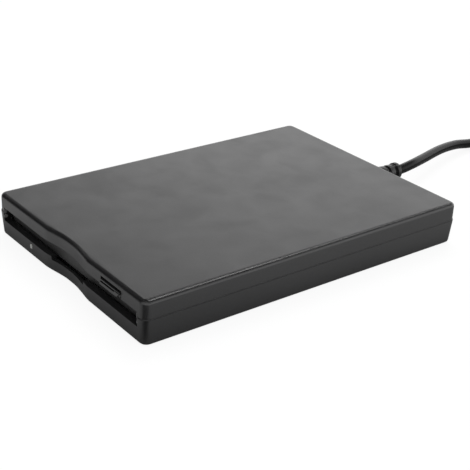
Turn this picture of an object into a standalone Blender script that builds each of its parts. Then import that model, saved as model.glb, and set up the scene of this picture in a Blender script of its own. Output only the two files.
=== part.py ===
# External floppy disk drive: slim two-part case, dust flap, eject slide and disk carrier,
# spindle, head carriage on a lead screw, boards, and a lead with its plug.
# Metres, +Z up. +X is right and -Y is the front. The origin is on the floor under the middle.
import math

import bmesh
import bpy
from mathutils import Matrix, Vector

mm = 0.001

# Clearances and stock
gap = 0.3 * mm
overrun = 1 * mm
weld = 0.01 * mm
sheet = 0.5 * mm
board_thickness = 0.5 * mm

# The diskette that the drive takes
disk_width = 90 * mm
disk_length = 94 * mm
disk_thickness = 3.3 * mm
disk_side_play = 0.6 * mm
disk_top_play = 0.4 * mm
disk_drop = 2 * mm
disk_front_gap = 1 * mm
hub_from_lead = 46 * mm
track_outer = 39.5 * mm
track_inner = 24.7 * mm

# Case
side_wall = 2 * mm
front_wall = 3.1 * mm
back_wall = 1.8 * mm
roof = 1.8 * mm
case_floor = 2.35 * mm
foot_show = 0.2 * mm
head_room = 1 * mm
corner_radius = 2.8 * mm
cavity_radius = 0.5 * mm
top_edge_radius = 1.55 * mm
bottom_edge_radius = 0.9 * mm
cover_step = 0.2 * mm
lower_taper = 0.6 * mm
parting_rise = 3.55 * mm
tongue_height = 1.2 * mm
tongue_thickness = 0.8 * mm
tongue_start = 6 * mm
recess_depth = 1.75 * mm
recess_reach = 17.5 * mm
recess_flat = 1.5 * mm
pad_length = 10 * mm
pad_width = 1.6 * mm
pad_x = 30 * mm
pad_front_inset = 28.5 * mm
pad_rear_inset = 25.6 * mm

# Disk slot, flap and light window
slot_side_play = 1 * mm
slot_opening = 5.35 * mm
notch_width = 22 * mm
notch_depth = 1.4 * mm
flap_end_gap = 0.5 * mm
flap_thickness = 0.7 * mm
flap_overlap = 0.8 * mm
flap_setback = 0.85 * mm
flap_pin_radius = 0.3 * mm
flap_roll_radius = 0.45 * mm
flap_pin_length = 2 * mm
window_x = -25 * mm
window_width = 1.2 * mm
window_height = 1.8 * mm
window_drop = 1.95 * mm
pipe_play = 0.1 * mm

# Eject button and slider
button_left = 24.3 * mm
button_width = 11.7 * mm
button_height = 1.7 * mm
button_proud = 0.5 * mm
button_room = 1.25 * mm
button_side_gap = 0.5 * mm
button_travel = 4.5 * mm
tab_width = 6 * mm
tab_length = 3.7 * mm
tab_play = 0.05 * mm
saddle_height = 0.7 * mm
saddle_cheek = 2 * mm
slider_front_plate = 36 * mm
slider_strip = 3.4 * mm
slider_skirt = 1.8 * mm
lift_pin_radius = 0.8 * mm
lift_front_inset = 9.85 * mm
lift_rear_inset = 9 * mm
spring_radius = 1.2 * mm
spring_wire = 0.35 * mm
spring_turns = 7
spring_inset = 2 * mm
spring_room = 14 * mm
spring_tab = 3 * mm

# Disk carrier and shutter lever
carrier_lip = 5 * mm
carrier_rear = 4.5 * mm
stop_near_x = 24 * mm
stop_far_x = 35 * mm
head_window = 17 * mm
rear_window = 36 * mm
lever_reach = 20 * mm
lever_side_inset = 6.1 * mm
lever_rear_inset = 9 * mm
lever_hub_radius = 2.5 * mm
lever_pin_radius = 1 * mm
lever_pivot_radius = 0.8 * mm
lever_width = 3 * mm
lever_start_deg = 50
lever_swing_deg = 68
lever_slack_deg = 4
lever_pin_depth = 2.2 * mm

# Spindle motor
rotor_radius = 19 * mm
rotor_skirt = 0.8 * mm
rotor_plate = 0.5 * mm
hub_radius = 11 * mm
hub_height = 0.9 * mm
hub_pin_radius = 1.9 * mm
hub_pin_height = 0.6 * mm
drive_pin_radius = 1 * mm
drive_pin_reach = 8.6 * mm
stator_height = 0.5 * mm
stator_bore = 6 * mm
stator_teeth = 9
stator_slot = 2.2 * mm
stator_rim = 3 * mm
bush_radius = 4.4 * mm
spindle_radius = 1.6 * mm

# Head carriage, lead screw and stepper motor
screw_x = -14 * mm
screw_radius = 1.5 * mm
screw_journal_radius = 0.6 * mm
screw_rise = 4.6 * mm
screw_groove = 0.35 * mm
screw_lead = 3.75 * mm
screw_facets = 8
screw_steps_per_turn = 6
rod_x = 12 * mm
rod_radius = 1 * mm
motor_radius = 4.6 * mm
motor_length = 6.6 * mm
ear_half_width = 2.5 * mm
ear_rise = 2.5 * mm
carriage_left = -17 * mm
carriage_right = 15 * mm
carriage_block = 7.4 * mm
carriage_block_top = 7 * mm
sled_half_width = 9 * mm
sled_height = 1.2 * mm
sled_nose = 5 * mm
head_size = 3 * mm
lower_head_height = 0.8 * mm
upper_head_height = 0.8 * mm
arm_half_width = 7.5 * mm
arm_tip_half_width = 4 * mm
arm_thickness = 0.8 * mm
arm_swing_deg = 4.3
arm_hinge_back = 3.3 * mm
arm_pin_radius = 0.5 * mm
arm_barrel_radius = 1 * mm
arm_ear_width = 2 * mm
arm_ear_half_length = 1.5 * mm

# Boards, switches and cables
board_front_gap = 6.5 * mm
spindle_board_right = 20.7 * mm
board_side_gap = 2.2 * mm
main_board_rear_gap = 12.8 * mm
chip_height = 0.9 * mm
chip_size = 9 * mm
socket_length = 4 * mm
socket_width = 10 * mm
light_size = 2.4 * mm
light_height = 1.5 * mm
switch_length = 5 * mm
switch_width = 3.4 * mm
switch_height = 1.3 * mm
switch_inset = 9.2 * mm
disk_switch_inset = 18.2 * mm
switch_setback = 4 * mm
plunger_radius = 0.7 * mm
plunger_show = 0.7 * mm
plunger_depth = 0.5 * mm
plunger_travel = 0.5 * mm
ribbon_thickness = 0.2 * mm
ribbon_width = 1.6 * mm
ribbon_bend = 3 * mm
ribbon_rise = 2.3 * mm
usb_board_half_width = 28 * mm
usb_board_depth = 8.5 * mm
usb_board_end_gap = 1.2 * mm
usb_board_room = 1.3 * mm
usb_board_thickness = 0.8 * mm

# Fasteners and feet
case_screw_side_inset = 6 * mm
case_screw_inset = 6.5 * mm
case_boss_radius = 3.2 * mm
screw_shaft_radius = 1.2 * mm
screw_head_radius = 2.6 * mm
screw_head_height = 1.2 * mm
drive_screw_head_height = 0.7 * mm
screw_bite = 4.5 * mm
screw_slot_width = 0.7 * mm
screw_slot_length = 3.12 * mm
screw_slot_depth = 0.4 * mm
drive_screw_side_inset = 7.7 * mm
drive_screw_front = 4.5 * mm
drive_screw_rear = 20.3 * mm
drive_screw_bite = 1.2 * mm
foot_radius = 4 * mm
foot_seat = 0.3 * mm
foot_side_inset = 9 * mm
foot_front_inset = 16.6 * mm
foot_rear_inset = 20.4 * mm

# Steel frame and shield
frame_rear_wall = 6 * mm
shield_setback = 10.5 * mm
shield_hole_radius = 5 * mm
shield_hole_x = 20 * mm

# Lead, strain relief and plug
cord_radius = 2.1 * mm
relief_height = 8.2 * mm
relief_neck_radius = 2.6 * mm
relief_flange_radius = 3.9 * mm
relief_flange_length = 2.2 * mm
relief_base_radius = 3.9 * mm
relief_tip_radius = 3.35 * mm
relief_length = 19.3 * mm
relief_collar = 3 * mm
relief_ribs = 6
relief_groove = 0.9 * mm
relief_groove_depth = 0.8 * mm
leads_radius = 1 * mm
coil_inner_radius = 17 * mm
coil_pitch = 4.9 * mm
coil_turns = 4.5
coil_climb_turns = 0.5
coil_centre_x = 12 * mm
coil_centre_y = 194.5 * mm
cord_floor_gap = 0.05 * mm
grip_length = 28 * mm
grip_width = 15 * mm
grip_height = 8 * mm
grip_edge = 2 * mm
plug_length = 18.5 * mm
plug_width = 12 * mm
plug_height = 4.5 * mm
plug_wall = 0.4 * mm
tongue_plate = 1.8 * mm
plug_window = 2.2 * mm

# Smoothness
corner_steps = 5
recess_steps = 14
arc_steps = 8
coil_points_per_turn = 24

# Heights, from the floor up
case_low = foot_show
cavity_low = case_low + case_floor
frame_low = cavity_low + gap
frame_top = frame_low + sheet
board_low = frame_top + gap
board_top = board_low + board_thickness
stator_low = board_top + gap
rotor_low = stator_low + stator_height + gap
rotor_top = rotor_low + rotor_plate
bay_low = rotor_top + gap + disk_drop
bay_top = bay_low + disk_thickness + disk_top_play
carrier_top = bay_top + sheet
slider_low = carrier_top + gap
slider_top = slider_low + sheet
shield_low = slider_top + gap
shield_top = shield_low + sheet
cavity_top = shield_top + head_room
case_top = cavity_top + roof
slot_high = bay_low + disk_thickness + gap
slot_low = slot_high - slot_opening
parting = slot_low + parting_rise
flap_axis_z = slider_low - gap - flap_thickness / 2
flap_low = slot_low - flap_overlap
screw_z = board_low + screw_rise
block_top = board_low + carriage_block_top

# Widths, from the middle out
slot_width = disk_width + 2 * slot_side_play
flap_width = slot_width - 2 * flap_end_gap
bay_half = disk_width / 2 + disk_side_play
carrier_half = bay_half + sheet
slider_inner = carrier_half + gap
slider_half = slider_inner + sheet
frame_inner = slider_half + gap
frame_half = frame_inner + sheet
cavity_half = frame_half + gap
case_half = cavity_half + side_wall
case_screw_x = cavity_half - case_screw_side_inset
drive_screw_x = frame_half - drive_screw_side_inset
foot_x = case_half - foot_side_inset
lever_pivot_x = carrier_half - lever_side_inset
switch_x = frame_inner - switch_inset
disk_switch_x = frame_inner - disk_switch_inset

# Places from the front to the back
head_travel = track_outer - track_inner
head_length = 2 * sheet + 4 * gap + head_travel + carriage_block
drive_length = disk_front_gap + disk_length + head_length + sheet + motor_length + gap
case_length = (front_wall + drive_length + usb_board_room + usb_board_depth + usb_board_end_gap
               + back_wall)
case_front = -(case_length - button_proud) / 2
case_back = case_front + case_length
cavity_front = case_front + front_wall
cavity_back = case_back - back_wall
flap_y = cavity_front + flap_setback + flap_thickness / 2
flap_swing = flap_axis_z - flap_low
carrier_front = flap_y + flap_swing + gap
disk_rear = cavity_front + disk_front_gap + disk_length
carrier_back = disk_rear + carrier_rear
spindle_y = disk_rear - hub_from_lead
head_y = spindle_y + track_outer
front_ear_y = disk_rear + gap
block_y = front_ear_y + sheet + gap + head_travel
block_back = block_y + carriage_block
rear_ear_y = block_back + gap
motor_y = rear_ear_y + sheet + gap
arm_axis_y = block_back - arm_hinge_back
frame_front = cavity_front + drive_screw_front - screw_head_radius + gap
frame_back = motor_y + motor_length + gap + sheet
slider_front = carrier_front - gap
slider_rear_y = carrier_back + button_travel + gap + sheet
drive_screw_rear_y = frame_back - drive_screw_rear
foot_front_y = case_front + foot_front_inset
foot_rear_y = case_back - foot_rear_inset
pad_front_y = cavity_front + pad_front_inset
pad_rear_y = cavity_back - pad_rear_inset
lift_front_y = carrier_front + lift_front_inset
lift_rear_y = carrier_back - lift_rear_inset
lever_pivot_y = carrier_back - lever_rear_inset
board_front = cavity_front + board_front_gap
main_board_back = drive_screw_rear_y - screw_shaft_radius - main_board_rear_gap
switch_y = board_front + switch_setback
light_y = board_front + light_size / 2

# Heights inside the head assembly
sled_low = board_top + gap
sled_top = sled_low + sled_height
arm_low = bay_low + disk_thickness + gap
arm_top = arm_low + arm_thickness
arm_axis_z = arm_low + arm_thickness / 2

# The collections, the materials and the plain solids


def clear_scene():
    for item in list(bpy.data.objects):
        bpy.data.objects.remove(item)


def new_collection(name):
    group = bpy.data.collections.new(name)
    bpy.context.scene.collection.children.link(group)
    return group


def surface(name, colour, roughness, metallic=0.0):
    material = bpy.data.materials.new(name)
    material.use_nodes = True
    shader = material.node_tree.nodes["Principled BSDF"]
    shader.inputs["Base Color"].default_value = (*colour, 1)
    shader.inputs["Roughness"].default_value = roughness
    shader.inputs["Metallic"].default_value = metallic
    return material


def add_mesh(name, bm, where):
    mesh = bpy.data.meshes.new(name)
    bm.to_mesh(mesh)
    bm.free()
    item = bpy.data.objects.new(name, mesh)
    where.objects.link(item)
    return item


def box(name, x, y, z, where):
    bm = bmesh.new()
    bmesh.ops.create_cube(bm, size=1)
    middle = Vector(((x[0] + x[1]) / 2, (y[0] + y[1]) / 2, (z[0] + z[1]) / 2))
    size = Vector((x[1] - x[0], y[1] - y[0], z[1] - z[0]))
    bmesh.ops.transform(bm, matrix=Matrix.LocRotScale(middle, None, size), verts=bm.verts)
    return add_mesh(name, bm, where)


def cylinder(name, radius, start, end, where, sides=20):
    bm = bmesh.new()
    run = Vector(end) - Vector(start)
    bmesh.ops.create_cone(
        bm, cap_ends=True, segments=sides, radius1=radius, radius2=radius, depth=run.length)
    turn = run.to_track_quat("Z", "Y")
    middle = (Vector(start) + Vector(end)) / 2
    bmesh.ops.transform(bm, matrix=Matrix.LocRotScale(middle, turn, None), verts=bm.verts)
    item = add_mesh(name, bm, where)
    item.data.shade_smooth()
    item.data.set_sharp_from_angle(angle=math.radians(40))
    return item


def slab(name, outline, low, high, where):
    """A flat outline, filled and given its thickness, as a closed mesh."""
    curve = bpy.data.curves.new(name, "CURVE")
    curve.dimensions = "2D"
    curve.fill_mode = "BOTH"
    curve.extrude = (high - low) / 2
    line = curve.splines.new("POLY")
    line.points.add(len(outline) - 1)
    for point, (x, y) in zip(line.points, outline):
        point.co = (x, y, 0, 1)
    line.use_cyclic_u = True
    guide = bpy.data.objects.new(name, curve)
    guide.location.z = (low + high) / 2
    where.objects.link(guide)
    graph = bpy.context.evaluated_depsgraph_get()
    mesh = bpy.data.meshes.new_from_object(guide.evaluated_get(graph))
    mesh.transform(Matrix.Translation((0, 0, (low + high) / 2)))
    bpy.data.objects.remove(guide)
    bm = bmesh.new()
    bm.from_mesh(mesh)
    bmesh.ops.remove_doubles(bm, verts=bm.verts, dist=weld)
    bmesh.ops.dissolve_limit(bm, angle_limit=math.radians(0.5), verts=bm.verts, edges=bm.edges)
    bmesh.ops.recalc_face_normals(bm, faces=bm.faces)
    return add_mesh(name, bm, where)


def round_level_edges(item, level, radius, segments):
    """Rounds the outline edges of a slab that lie at one height."""
    bm = bmesh.new()
    bm.from_mesh(item.data)
    edges = [edge for edge in bm.edges if all(abs(v.co.z - level) < weld for v in edge.verts)]
    bmesh.ops.bevel(bm, geom=edges, offset=radius, segments=segments, profile=0.5, affect="EDGES")
    bm.to_mesh(item.data)
    bm.free()


def turned(name, profile, start, direction, where, sides=20):
    """A turned solid: (radius, distance) pairs from the far end of the axis to its start."""
    bm = bmesh.new()
    verts = [bm.verts.new((radius, 0, distance)) for radius, distance in profile]
    for first, second in zip(verts, verts[1:]):
        bm.edges.new((first, second))
    item = add_mesh(name, bm, where)
    screw = item.modifiers.new("Turn", "SCREW")
    screw.axis = "Z"
    screw.steps = sides
    screw.render_steps = sides
    screw.use_merge_vertices = True
    screw.merge_threshold = weld
    item.location = start
    item.rotation_mode = "QUATERNION"
    item.rotation_quaternion = Vector(direction).to_track_quat("Z", "Y")
    return item


def tube(name, points, radius, resolution, where):
    curve = bpy.data.curves.new(name, "CURVE")
    curve.dimensions = "3D"
    curve.bevel_depth = radius
    curve.bevel_resolution = resolution
    curve.use_fill_caps = True
    line = curve.splines.new("POLY")
    line.points.add(len(points) - 1)
    for point, place in zip(line.points, points):
        point.co = (*place, 1)
    item = bpy.data.objects.new(name, curve)
    where.objects.link(item)
    return item


def change(body, tool, operation):
    tool.hide_render = True
    tool.display_type = "WIRE"
    step = body.modifiers.new(tool.name, "BOOLEAN")
    step.object = tool
    step.operation = operation


def cut(body, *tools):
    for tool in tools:
        change(body, tool, "DIFFERENCE")


def join(body, *tools):
    for tool in tools:
        change(body, tool, "UNION")


def finish(item, material, axis_point=None):
    """Gives a part its material, and puts a moving part's origin on its axis."""
    item.data.materials.clear()
    item.data.materials.append(material)
    if axis_point is not None:
        shift = Matrix.Translation(-Vector(axis_point))
        item.data.transform(shift)
        item.location = axis_point
    return item


def arc(centre, radius, start_deg, end_deg, steps):
    """Points along a round stretch."""
    points = []
    for step in range(steps + 1):
        angle = math.radians(start_deg + (end_deg - start_deg) * step / steps)
        points.append((centre[0] + radius * math.cos(angle), centre[1] + radius * math.sin(angle)))
    return points


def rounded_rectangle(half_width, front, back, radius):
    points = []
    for x, y, start in (
            (half_width - radius, front + radius, -90), (half_width - radius, back - radius, 0),
            (radius - half_width, back - radius, 90), (radius - half_width, front + radius, 180)):
        points.extend(arc((x, y), radius, start, start + 90, corner_steps))
    return points


def dip(x):
    """How deep the finger recess is at x, from 0 to 1."""
    share = min(1.0, (recess_reach - abs(x)) / (recess_reach - recess_flat))
    return (1 - math.cos(math.pi * share)) / 2


def case_outline(half_width, front, back):
    points = rounded_rectangle(half_width, front, back, corner_radius)
    for step in range(1, recess_steps):
        x = recess_reach * (2 * step / recess_steps - 1)
        points.append((x, front + recess_depth * dip(x)))
    return points


# Turns a slab drawn in (Y, Z) with its thickness along X
side_swap = Matrix(((0, 0, 1, 0), (1, 0, 0, 0), (0, 1, 0, 0), (0, 0, 0, 1)))


def stadium(name, start, end, radius, depth, where):
    """A slot cutter along X: a rounded bar from start to end in the YZ plane."""
    first = Vector(start)
    run = Vector(end) - first
    turn = math.degrees(math.atan2(run.y, run.x))
    outline = arc(first, radius, turn + 90, turn + 270, arc_steps)
    outline += arc(end, radius, turn - 90, turn + 90, arc_steps)
    item = slab(name, outline, depth[0], depth[1], where)
    item.data.transform(side_swap)
    return item


# Case: top cover, bottom cover, feet and screws


def slot_tool(name):
    return box(name, (-slot_width / 2, slot_width / 2), (case_front - overrun, cavity_front + overrun),
               (slot_low, slot_high), tools)


def relief_tool(name):
    return cylinder(name, relief_neck_radius + gap, (0, cavity_back - overrun, relief_height),
                    (0, case_back + overrun, relief_height), tools)


def case_screw_places():
    return [(side * case_screw_x, cavity_back - case_screw_inset) for side in (-1, 1)]


def drive_screw_places():
    front = cavity_front + drive_screw_front
    return [(side * drive_screw_x, y) for y in (front, drive_screw_rear_y) for side in (-1, 1)]


def foot_places():
    return [(side * foot_x, y) for y in (foot_front_y, foot_rear_y) for side in (-1, 1)]


def make_top_cover():
    low = parting + gap / 2
    half = case_half - cover_step
    outline = case_outline(half, case_front + cover_step, case_back - cover_step)
    cover = slab("top_cover", outline, low, case_top, parts)
    round_level_edges(cover, case_top, top_edge_radius, 4)
    cavity = rounded_rectangle(cavity_half, cavity_front, cavity_back, cavity_radius)
    cut(cover, slab("top_cavity", cavity, low - overrun, cavity_top, tools))
    rebate = tongue_thickness + gap
    cut(cover, box("top_rebate", (-cavity_half - rebate, cavity_half + rebate),
                   (cavity_front + tongue_start - gap, cavity_back + rebate),
                   (low - overrun, parting + tongue_height + gap), tools))
    cut(cover, slot_tool("top_slot"), relief_tool("top_relief_hole"))
    pocket = (button_left - button_side_gap, button_left + button_width + button_side_gap)
    cut(cover, box("button_pocket", pocket, (case_front - overrun, cavity_front + overrun),
                   (slot_high - overrun, slot_high + button_height + button_room), tools))
    for number, (x, y) in enumerate(case_screw_places(), 1):
        join(cover, cylinder(f"top_post_{number}", case_boss_radius, (x, y, low),
                             (x, y, cavity_top + roof / 2), tools))
        cut(cover, cylinder(f"top_post_hole_{number}", screw_shaft_radius + gap, (x, y, low - overrun),
                            (x, y, parting + screw_bite + gap), tools))
    for row, y in enumerate((pad_front_y, pad_rear_y)):
        for side in (-1, 1):
            x = side * pad_x
            join(cover, box(f"roof_pad_{row}_{side}", (x - pad_length / 2, x + pad_length / 2),
                            (y - pad_width / 2, y + pad_width / 2),
                            (shield_top + gap, cavity_top + roof / 2), tools))
    return finish(cover, plastic)


def make_bottom_cover():
    high = parting - gap / 2
    cover = slab("bottom_cover", case_outline(case_half, case_front, case_back), case_low, high, parts)
    half_length = case_length / 2
    middle = (case_front + case_back) / 2
    for vert in cover.data.vertices:
        if vert.co.z < case_low + weld:
            vert.co.x *= (case_half - lower_taper) / case_half
            vert.co.y = middle + (vert.co.y - middle) * (half_length - lower_taper) / half_length
    round_level_edges(cover, case_low, bottom_edge_radius, 3)
    join(cover, box("tongue", (-cavity_half - tongue_thickness, cavity_half + tongue_thickness),
                    (cavity_front + tongue_start, cavity_back + tongue_thickness),
                    (parting - tongue_height, parting + tongue_height), tools))
    cavity = rounded_rectangle(cavity_half, cavity_front, cavity_back, cavity_radius)
    cut(cover, slab("bottom_cavity", cavity, cavity_low, case_top, tools))
    cut(cover, slot_tool("bottom_slot"), relief_tool("bottom_relief_hole"))
    cut(cover, box("slot_notch", (-notch_width / 2, notch_width / 2),
                   (case_front - overrun, cavity_front + overrun),
                   (slot_low - notch_depth, slot_low + overrun), tools))
    low = slot_low - window_drop - window_height / 2
    cut(cover, box("light_window", (window_x - window_width / 2, window_x + window_width / 2),
                   (case_front - overrun, cavity_front + overrun), (low, low + window_height), tools))
    for number, (x, y) in enumerate(case_screw_places(), 1):
        join(cover, cylinder(f"boss_{number}", case_boss_radius, (x, y, cavity_low - case_floor / 2),
                             (x, y, high), tools))
        seat = case_low + screw_head_height + 2 * gap
        cut(cover, cylinder(f"boss_head_{number}", screw_head_radius + gap, (x, y, case_low - overrun),
                            (x, y, seat), tools),
            cylinder(f"boss_hole_{number}", screw_shaft_radius + gap, (x, y, case_low),
                     (x, y, parting + overrun), tools))
    for number, (x, y) in enumerate(drive_screw_places(), 1):
        seat = case_low + drive_screw_head_height + gap
        cut(cover, cylinder(f"drive_head_{number}", screw_head_radius + gap,
                            (x, y, case_low - overrun), (x, y, seat), tools),
            cylinder(f"drive_hole_{number}", screw_shaft_radius + gap, (x, y, case_low),
                     (x, y, cavity_low + overrun), tools))
    for number, (x, y) in enumerate(foot_places(), 1):
        cut(cover, cylinder(f"foot_seat_{number}", foot_radius + gap, (x, y, case_low - overrun),
                            (x, y, case_low + foot_seat + gap), tools))
    for side in (-1, 1):
        x = side * usb_board_half_width / 2
        join(cover, box(f"board_pad_{side}", (x - pad_length / 2, x + pad_length / 2),
                        (cavity_back - usb_board_end_gap - usb_board_depth + gap,
                         cavity_back - usb_board_end_gap - gap),
                        (cavity_low - case_floor / 2, frame_low), tools))
    return finish(cover, plastic)


def make_feet():
    for number, (x, y) in enumerate(foot_places(), 1):
        foot = cylinder(f"foot_{number}", foot_radius, (x, y, 0), (x, y, case_low + foot_seat), parts)
        finish(foot, rubber)


def make_screw(name, x, y, low, head_height, high):
    screw = cylinder(name, screw_head_radius, (x, y, low), (x, y, low + head_height), parts)
    join(screw, cylinder(f"{name}_shaft", screw_shaft_radius, (x, y, low + head_height / 2),
                         (x, y, high), tools, 16))
    half = screw_slot_length / 2
    for turn, (wide, deep) in enumerate(((half, screw_slot_width / 2), (screw_slot_width / 2, half))):
        cut(screw, box(f"{name}_cross_{turn}", (x - wide, x + wide), (y - deep, y + deep),
                       (low - overrun, low + screw_slot_depth), tools))
    finish(screw, zinc)


def make_screws():
    for number, (x, y) in enumerate(case_screw_places(), 1):
        make_screw(f"case_screw_{number}", x, y, case_low + gap, screw_head_height,
                   parting + screw_bite)
    for number, (x, y) in enumerate(drive_screw_places(), 1):
        make_screw(f"drive_screw_{number}", x, y, case_low, drive_screw_head_height,
                   frame_top + drive_screw_bite)


# Drive frame and shield


def lift_places():
    return [(side, y) for y in (lift_front_y, lift_rear_y) for side in (-1, 1)]


lift_z = (bay_low + bay_top) / 2


def make_frame():
    frame = box("drive_frame", (-frame_half, frame_half), (cavity_front + gap, frame_back),
                (frame_low, slider_top), parts)
    cut(frame,
        box("frame_hollow", (-frame_inner, frame_inner), (cavity_front, frame_back - sheet),
            (frame_top, slider_top + overrun), tools),
        box("frame_front_gap", (-frame_inner, frame_inner), (cavity_front, frame_front),
            (frame_low - overrun, frame_top + overrun), tools),
        box("frame_rear_step", (-frame_inner, frame_inner), (frame_back - 2 * sheet, frame_back + sheet),
            (frame_low + frame_rear_wall, slider_top + overrun), tools))
    for side in (-1, 1):
        hook = sorted((side * (frame_half - sheet / 2), side * (frame_half - spring_tab)))
        rear = slider_rear_y + spring_room
        join(frame, box(f"spring_stop_{side}", hook, (rear, rear + sheet),
                        (frame_top - sheet / 2, lift_z + spring_radius), tools))
    for number, (side, y) in enumerate(lift_places(), 1):
        across = sorted((side * (frame_inner - gap), side * (frame_half + overrun)))
        radius = lift_pin_radius + gap
        cut(frame, stadium(f"lift_slot_{number}", (y, lift_z), (y, lift_z - disk_drop), radius,
                           across, tools))
    cut(frame, cylinder("flap_bearing", flap_pin_radius + gap / 2,
                        (-frame_half - overrun, flap_y, flap_axis_z),
                        (frame_half + overrun, flap_y, flap_axis_z), tools, 16))
    for number, (x, y) in enumerate(drive_screw_places(), 1):
        cut(frame, cylinder(f"frame_hole_{number}", screw_shaft_radius + gap,
                            (x, y, frame_low - overrun), (x, y, frame_top + overrun), tools))
    return finish(frame, steel)


def make_shield():
    front = cavity_front + shield_setback
    shield = box("drive_shield", (-frame_half, frame_half), (front, frame_back - sheet - gap),
                 (shield_low, shield_top), parts)
    for side in (-1, 1):
        x = side * shield_hole_x
        cut(shield, cylinder(f"shield_hole_{side}", shield_hole_radius,
                             (x, spindle_y, shield_low - overrun),
                             (x, spindle_y, shield_top + overrun), tools))
    return finish(shield, steel)


# Dust flap


def make_flap():
    half = flap_width / 2
    axis = (0, flap_y, flap_axis_z)
    flap = box("dust_flap", (-half, half), (flap_y - flap_thickness / 2, flap_y + flap_thickness / 2),
               (flap_low, flap_axis_z), parts)
    join(flap, cylinder("flap_roll", flap_roll_radius, (-half - gap / 2, flap_y, flap_axis_z),
                        (half + gap / 2, flap_y, flap_axis_z), tools, 16))
    for side in (-1, 1):
        join(flap, cylinder(f"flap_pin_{side}", flap_pin_radius,
                            (side * (half - overrun), flap_y, flap_axis_z),
                            (side * (half + flap_pin_length), flap_y, flap_axis_z), tools, 12))
    for tool in tools.objects:
        if tool.name.startswith("flap_roll") or tool.name.startswith("flap_pin"):
            tool.data.transform(Matrix.Translation(-Vector(axis)))
            tool.parent = flap
    return finish(flap, grey_plastic, axis)


# Eject slider, button and springs


def make_slider():
    """A channel open below: a front plate, two strips with flanges, and a spring hook on each."""
    slider = box("eject_slider", (-slider_half, slider_half), (slider_front, slider_rear_y),
                 (bay_low - slider_skirt, slider_top), parts)
    strip_x = slider_half - slider_strip
    cut(slider,
        box("slider_channel", (-slider_inner, slider_inner), (slider_front - overrun,
                                                              slider_rear_y - sheet),
            (bay_low - slider_skirt - overrun, slider_low), tools),
        box("slider_window", (-strip_x, strip_x),
            (slider_front + slider_front_plate, slider_rear_y + overrun),
            (bay_low - slider_skirt - 2 * overrun, slider_top + overrun), tools))
    tab = button_left + button_width / 2
    join(slider, box("slider_tab", (tab - tab_width / 2, tab + tab_width / 2),
                     (slider_front - tab_length, slider_front + sheet),
                     (slider_low + tab_play, slider_top - tab_play), tools))
    for number, (side, y) in enumerate(lift_places(), 1):
        across = sorted((side * (slider_inner - gap / 2), side * (slider_half + overrun)))
        radius = lift_pin_radius + gap
        cut(slider, stadium(f"ramp_slot_{number}", (y, lift_z),
                            (y + button_travel, lift_z - disk_drop), radius, across, tools))
    return finish(slider, steel)


def make_button():
    right = button_left + button_width
    tab = button_left + button_width / 2
    bottom = slot_high + gap
    top = bottom + button_height
    cheek = tab_width / 2 + gap + saddle_cheek
    front = cavity_front - overrun
    back = slider_front - gap
    saddle = back - tab_length
    high = slider_top + gap + saddle_height
    button = box("eject_button", (button_left, right),
                 (case_front - button_proud, cavity_front - gap / 2), (bottom, top), parts)
    side_view = [(front, slider_low), (back, slider_low), (back, high), (saddle, high),
                 (saddle, top - tab_play), (front, top - tab_play)]
    arm = slab("button_arm", side_view, tab - cheek, tab + cheek, tools)
    arm.data.transform(side_swap)
    join(button, arm)
    cut(button, box("button_channel", (tab - tab_width / 2 - gap, tab + tab_width / 2 + gap),
                    (slider_front - tab_length - gap, slider_front + overrun),
                    (slider_low - overrun, slider_top + gap), tools))
    return finish(button, dark_plastic)


def make_slider_springs():
    for number, side in enumerate((-1, 1), 1):
        x = side * (slider_half - spring_inset)
        start = slider_rear_y + spring_wire + gap
        run = spring_room - 2 * (spring_wire + gap)
        points = []
        count = spring_turns * 8
        for step in range(count + 1):
            angle = 2 * math.pi * step / 8
            points.append((x + spring_radius * math.cos(angle), start + run * step / count,
                           lift_z + spring_radius * math.sin(angle) - spring_radius))
        spring = tube(f"slider_spring_{number}", points, spring_wire / 2, 1, parts)
        finish(spring, steel)


# Disk carrier and shutter lever


def make_carrier():
    low = bay_low - sheet
    carrier = box("disk_carrier", (-carrier_half, carrier_half), (carrier_front, carrier_back),
                  (low, carrier_top), parts)
    through = (carrier_front - overrun, carrier_back + overrun)
    lip_x = carrier_half - carrier_lip
    cut(carrier,
        box("carrier_bay", (-bay_half, bay_half), through, (bay_low, bay_top), tools),
        box("carrier_bottom_gap", (-lip_x, lip_x), through, (low - overrun, bay_low + overrun), tools))
    for side in (-1, 1):
        stop = sorted((side * stop_near_x, side * stop_far_x))
        join(carrier, box(f"carrier_stop_{side}", stop, (disk_rear + gap, disk_rear + gap + sheet),
                          (bay_low, bay_top + sheet / 2), tools))
    for number, (side, y) in enumerate(lift_places(), 1):
        join(carrier, cylinder(f"lift_pin_{number}", lift_pin_radius,
                               (side * (carrier_half - sheet / 2), y, lift_z),
                               (side * (frame_half - gap / 2), y, lift_z), tools, 16))
    window_front = head_y - head_travel - sled_nose - 2 * gap
    rear_front = front_ear_y - gap
    middle = (carriage_left + carriage_right) / 2
    cut(carrier,
        box("head_window", (-head_window / 2, head_window / 2),
            (window_front, carrier_back + overrun), (bay_top - overrun, carrier_top + overrun), tools),
        box("rear_window", (middle - rear_window / 2, middle + rear_window / 2),
            (rear_front, carrier_back + overrun), (bay_top - overrun, carrier_top + overrun), tools))
    pivot = (lever_pivot_x, lever_pivot_y)
    reach = lever_pin_radius + gap
    start = 180 + lever_start_deg + lever_slack_deg
    end = start - lever_swing_deg - 2 * lever_slack_deg
    outline = arc(pivot, lever_reach + reach, start, end, arc_steps)
    outline += arc(pivot, lever_reach - reach, end, start, arc_steps)
    cut(carrier, slab("lever_arc", outline, bay_top - overrun, carrier_top + overrun, tools),
        cylinder("lever_pivot_hole", lever_pivot_radius + gap / 2,
                 (*pivot, bay_top - overrun), (*pivot, carrier_top + overrun), tools, 16))
    return finish(carrier, steel)


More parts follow.
